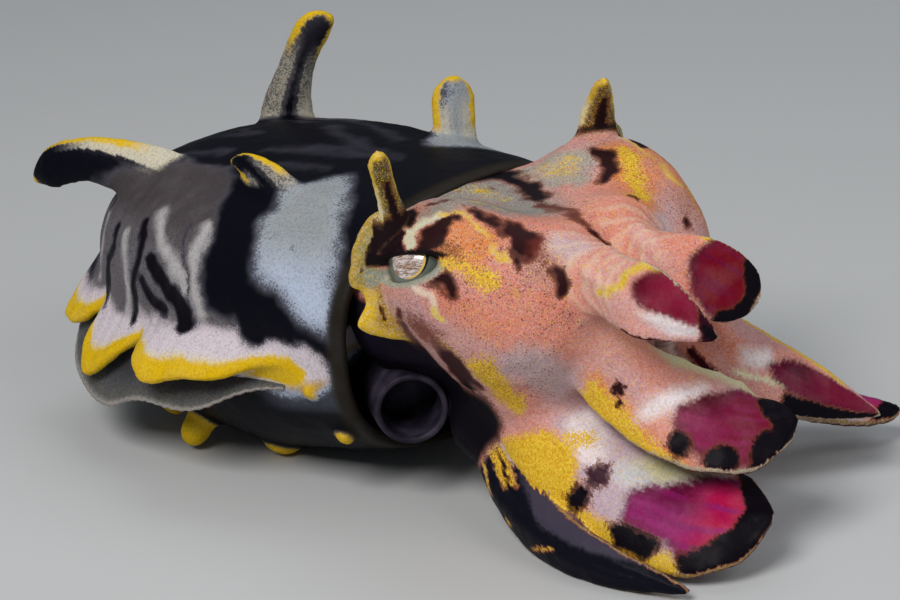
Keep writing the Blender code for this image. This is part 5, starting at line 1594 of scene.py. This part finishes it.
def eye_material():
    """Iris, gold rim, pupil and dark surround, by their reach from the middle of the iris."""
    shader = Shader("eye", roughness=0.16, coat_weight=1.0, coat_roughness=0.03)
    plan = shader.node("Attribute", {"attribute_name": "plan"}).outputs["Vector"]
    split = shader.node("SeparateXYZ", Vector=plan)
    wide, high, deep = (shader.number(split.outputs[i]) for i in range(3))
    reach = shader.maths("SQRT", wide * wide + high * high)
    stretched = shader.node("VectorMath", {"operation": "MULTIPLY"}, _0=plan, _1=IRIS_STREAKS).outputs[0]
    streak = shader.node("TexNoise", Vector=stretched, Scale=1.0, Detail=4.0, Distortion=0.8).outputs[0]
    iris = shader.mix(shader.rise(streak, 0.4, 0.62), (0.26, 0.14, 0.07, 1), (0.68, 0.62, 0.62, 1))
    freckle, luck = shader.cells(0.12)
    iris = shader.mix(shader.rise(luck, 0.6, 0.8) * (1 - shader.rise(freckle, 0.2, 0.4)), iris,
                      (0.30, 0.12, 0.05, 1))
    front = shader.rise(wide, -0.2, 0.1)
    gilt = shader.rise(reach, 0.4, 0.425) * (1 - shader.rise(reach, 0.445, 0.46)) * front
    iris = shader.mix(gilt, iris, (0.80, 0.52, 0.08, 1))
    glass = shader.mix(shader.rise(reach, 0.5, 0.75), (0.12, 0.14, 0.11, 1), (0.015, 0.02, 0.02, 1))
    colour = shader.mix(shader.rise(reach, IRIS_REACH - 0.02, IRIS_REACH), iris, glass)
    slit = shader.maths("ABSOLUTE", reach - IRIS_REACH) + shader.maths("ABSOLUTE", high) * 0.05
    pupil = (1 - shader.rise(slit, 0.024, 0.034)) * shader.rise(wide, 0.1, 0.2)
    colour = shader.mix(pupil, colour, (0.002, 0.002, 0.003, 1))
    return shader.finish(colour)


iris_paint = eye_material()
for side, word in ((-1, "right"), (1, "left")):
    finished(eye("eyeball_" + word, side), "eye", iris_paint, "eye_" + word)


# The suckers: small pale cups of soft muscle on short stalks. They grow in four rows along the inner face
# of every arm to its tip, and are smaller towards it.

SUCKER_STEPS = 22
SUCKER_ROWS = (-0.5, -0.2, 0.2, 0.5)
SUCKER_SPAN = (0.26, 0.94)  # where they start and end along an arm
SUCKER_SIDES = 12
SUCKER_SIZE = 0.045  # radius against the arm's width
SUCKER_LEAST = 0.16
SUCKER_PROFILE = [(-0.5, 0.55), (0.3, 0.6), (0.7, 1.0), (0.95, 1.0), (1.0, 0.8), (0.7, 0.6), (0.5, 0.3)]


def sucker_rings(place, out, radius):
    """Sections of a stalked cup with a rounded rim and a hollow."""
    across = unit(np.cross(out, (0.3, 0.2, 0.9)))
    up = np.cross(out, across)
    turn = np.linspace(0, 2 * np.pi, SUCKER_SIDES, endpoint=False)[:, None]
    circle = np.cos(turn) * across + np.sin(turn) * up
    return np.array([place + out * radius * rise + circle * radius * size for rise, size in SUCKER_PROFILE])


def all_suckers():
    """Every sucker of the eight arms, as one piece."""
    points, faces = [], []
    rings, sides = len(SUCKER_PROFILE), SUCKER_SIDES
    for shape in ARMS.values():
        for step, (row, lane) in itertools.product(range(SUCKER_STEPS), enumerate(SUCKER_ROWS)):
            share = (step + 0.5 * (row % 2)) / SUCKER_STEPS
            t = SUCKER_SPAN[0] + (SUCKER_SPAN[1] - SUCKER_SPAN[0]) * share
            grid, thickness, normal = blade_grid(shape, np.array([t]), np.array([lane]))
            radius = max(SUCKER_SIZE * smooth_through(shape["width"], t)[0] * (1.1 - 0.6 * t), SUCKER_LEAST)
            place = grid[0, 0] - normal[0, 0] * thickness[0, 0] / 2
            if head_field(place[None])[0] < 0.5 or place[2] < radius:
                continue
            first = len(points) * rings * sides
            for i, j in itertools.product(range(rings - 1), range(sides)):
                a, b = first + i * sides + j, first + i * sides + (j + 1) % sides
                faces.append((a, b, b + sides, a + sides))
            faces.append(tuple(first + (rings - 1) * sides + j for j in range(sides)))
            faces.append(tuple(first + j for j in range(sides)))
            points.append(sucker_rings(place, -normal[0, 0], radius).reshape(-1, 3))
    return outward(new_piece("suckers", np.concatenate(points), faces))


cups = Shader("sucker", roughness=0.4, coat_weight=0.2)
tint = cups.mix(cups.noise(0.3), (0.62, 0.44, 0.40, 1), (0.86, 0.76, 0.70, 1))
finished(all_suckers(), "arm", cups.finish(tint))


# The mouth: a ring of soft folded lips round the tip of a dark horny beak. It lies deep between the roots
# of the arms, where it grows from the front of the head.

MOUTH_CENTRE = (0.0, -13.6, 16.5)
MOUTH_RADIUS = 4.4
LIP_FOLDS = 18
LIP_PROFILE = [(7, 0.9, 0), (2.5, 1.0, 0.03), (0.6, 0.98, 0.06), (-0.6, 0.85, 0.1), (-1.2, 0.66, 0.12),
               (-1.0, 0.46, 0.12), (-0.2, 0.36, 0.08), (1.2, 0.3, 0.02)]  # place, size and depth of the folds
BEAK_PROFILE = [(1.4, 1.3), (0.2, 1.1), (-0.8, 0.7), (-1.4, 0.3), (-1.6, 0.08)]
BEAK_NARROW = 0.8
BEAK_HOOK = 0.25


def lips():
    """The ring of lips, turned in at its middle."""
    turn = np.linspace(0, 2 * np.pi, 180, endpoint=False)
    rings = []
    for place, size, fold in LIP_PROFILE:
        reach = MOUTH_RADIUS * size * (1 + fold * np.cos(turn * LIP_FOLDS))
        rings.append(np.stack([np.cos(turn) * reach, np.full_like(turn, place), np.sin(turn) * reach], 1))
    return closed_loft("lips", np.array(rings) + MOUTH_CENTRE)


def beak():
    """The beak's tip, narrow and hooked downwards."""
    turn = np.linspace(0, 2 * np.pi, 40, endpoint=False)
    rings = []
    for place, size in BEAK_PROFILE:
        x, z = np.cos(turn) * size * BEAK_NARROW, np.sin(turn) * size - BEAK_HOOK * max(0, -place)
        rings.append(np.stack([x, np.full_like(turn, place), z], 1))
    return closed_loft("beak", np.array(rings) + MOUTH_CENTRE)


flesh = Shader("lip", roughness=0.35, subsurface_weight=0.1, subsurface_scale=0.001)
blush = flesh.mix(flesh.noise(0.6, 3), (0.40, 0.20, 0.17, 1), (0.74, 0.56, 0.48, 1))
finished(lips(), "mouth", flesh.finish(blush, height=flesh.noise(0.4)), "mouth")
horn = Shader("beak", roughness=0.25, coat_weight=0.4)
brown = horn.mix(horn.noise(0.5), (0.012, 0.006, 0.004, 1), (0.06, 0.025, 0.012, 1))
finished(beak(), "mouth", horn.finish(brown))


# The funnel: a soft, thin-walled tube of grey-violet muscle, which comes out of the mantle's opening under
# the head. It is bent to the right and open at its end.

FUNNEL_PATH = [(-1, 17, 8), (-5.5, 13, 9.5), (-9.5, 9, 10.2), (-12.6, 5.2, 10.4)]
FUNNEL_RADII = [6.5, 5.6, 4.2, 3.5]
FUNNEL_BORE = 0.84  # inside against outside at its end
FUNNEL_TAPER = 0.008  # how much narrower the bore gets with each ring inwards
FUNNEL_BORE_RINGS = 25


def funnel():
    """The tube from its root to its rounded lip, and back inside."""
    outside = tube_rings(FUNNEL_PATH, FUNNEL_RADII, 60, 96)
    lip = outside[-1]
    middle = lip.mean(axis=0)
    ahead = unit(outside[-1].mean(0) - outside[-2].mean(0))
    rings = list(outside)
    rings.append(middle + (lip - middle) * 0.97 + ahead * 0.25)
    rings.append(middle + (lip - middle) * 0.87 + ahead * 0.1)
    for back in range(1, FUNNEL_BORE_RINGS + 1):
        section = outside[-back]
        centre = section.mean(axis=0)
        rings.append(centre + (section - centre) * (FUNNEL_BORE - FUNNEL_TAPER * back))
    return closed_loft("funnel_tube", rings)


muscle = Shader("funnel", roughness=0.55, specular_ior_level=0.2, subsurface_weight=0.25,
                subsurface_scale=0.0015)
# Painted shade: the muscle's grey-violet is painted much darker here, as the shade under the head
cloud = muscle.rise(muscle.noise(2.0, 3), 0.35, 0.7)
shaded_grey = muscle.mix(cloud, (0.012, 0.010, 0.020, 1), (0.050, 0.040, 0.065, 1))
fleck, luck = muscle.cells(0.3)
shaded_grey = muscle.mix((1 - muscle.rise(fleck, 0.12, 0.2)) * 0.6, shaded_grey, (0.012, 0.008, 0.016, 1))
finished(funnel(), "funnel", muscle.finish(shaded_grey, height=muscle.noise(0.5, 3), lift=0.04), "funnel")


# The stage: a plain pale paper floor under three soft square lamps and an even pale sky. The camera stands
# at the photo's side with a long lens, close to the floor and a little tilted.

CAMERA_AROUND = -43.4  # degrees from straight ahead of the animal
CAMERA_UP = 21.1
CAMERA_ROLL = -4.5
CAMERA_DISTANCE = 270
CAMERA_TARGET = (-11.4, 0.0, 22.3)
CAMERA_LENS = 116.69
LAMP_TARGET = Vector((0, 0, 0.015))
LAMPS = {  # directions in degrees, distances and sizes in metres
    "key": dict(around=-75, up=48, distance=0.45, size=0.2, energy=1.45, colour=(1.0, 0.98, 0.95)),
    "fill": dict(around=10, up=35, distance=0.5, size=0.3, energy=0.55, colour=(0.96, 0.98, 1.0)),
    "back": dict(around=120, up=62, distance=0.5, size=0.3, energy=0.45, colour=(0.92, 0.96, 1.0)),
}
SKY_COLOUR = (0.80, 0.86, 0.92, 1)
SKY_STRENGTH = 0.13


def aim(piece, place, target, roll=0.0):
    """Puts a camera or lamp at a place and turns it to a target, both in metres."""
    back = Vector(unit(np.array(place) - np.array(target)))
    right = Vector((0, 0, 1)).cross(back).normalized()
    up = back.cross(right)
    turned = right * math.cos(roll) + up * math.sin(roll)
    raised = up * math.cos(roll) - right * math.sin(roll)
    axes = Matrix((turned, raised, back)).transposed().to_4x4()
    piece.matrix_world = Matrix.Translation(place) @ axes


def way_from(around, up):
    """The direction of a camera or lamp as seen from the model."""
    a, e = math.radians(around), math.radians(up)
    return Vector((math.sin(a) * math.cos(e), -math.cos(a) * math.cos(e), math.sin(e)))


def lamp(name, around, up, distance, size, energy, colour):
    """A square soft lamp that shines on the model from a direction."""
    data = bpy.data.lights.new(name, "AREA")
    data.size, data.energy, data.color = size, energy, colour
    piece = bpy.data.objects.new(name, data)
    bpy.context.scene.collection.objects.link(piece)
    aim(piece, LAMP_TARGET + way_from(around, up) * distance, LAMP_TARGET)


bpy.ops.mesh.primitive_plane_add(size=6)
floor = bpy.context.object
floor.name = "floor"
paper = Shader("pale floor", roughness=0.85)
floor.data.materials.append(paper.finish((0.55, 0.56, 0.57, 1)))

for name, light in LAMPS.items():
    lamp(name, **light)
world = bpy.data.worlds.new("studio")
bpy.context.scene.world = world
world.use_nodes = True
sky = world.node_tree.nodes["Background"]
sky.inputs["Color"].default_value = SKY_COLOUR
sky.inputs["Strength"].default_value = SKY_STRENGTH

camera_data = bpy.data.cameras.new("camera")
camera_data.lens = CAMERA_LENS
camera_data.clip_start = 0.01
camera = bpy.data.objects.new("camera", camera_data)
bpy.context.scene.collection.objects.link(camera)
target = SHIFT + Vector(CAMERA_TARGET) * MM
camera_place = target + way_from(CAMERA_AROUND, CAMERA_UP) * CAMERA_DISTANCE * MM
aim(camera, camera_place, target, math.radians(CAMERA_ROLL))
bpy.context.scene.camera = camera
bpy.context.scene.view_settings.view_transform = "Standard"
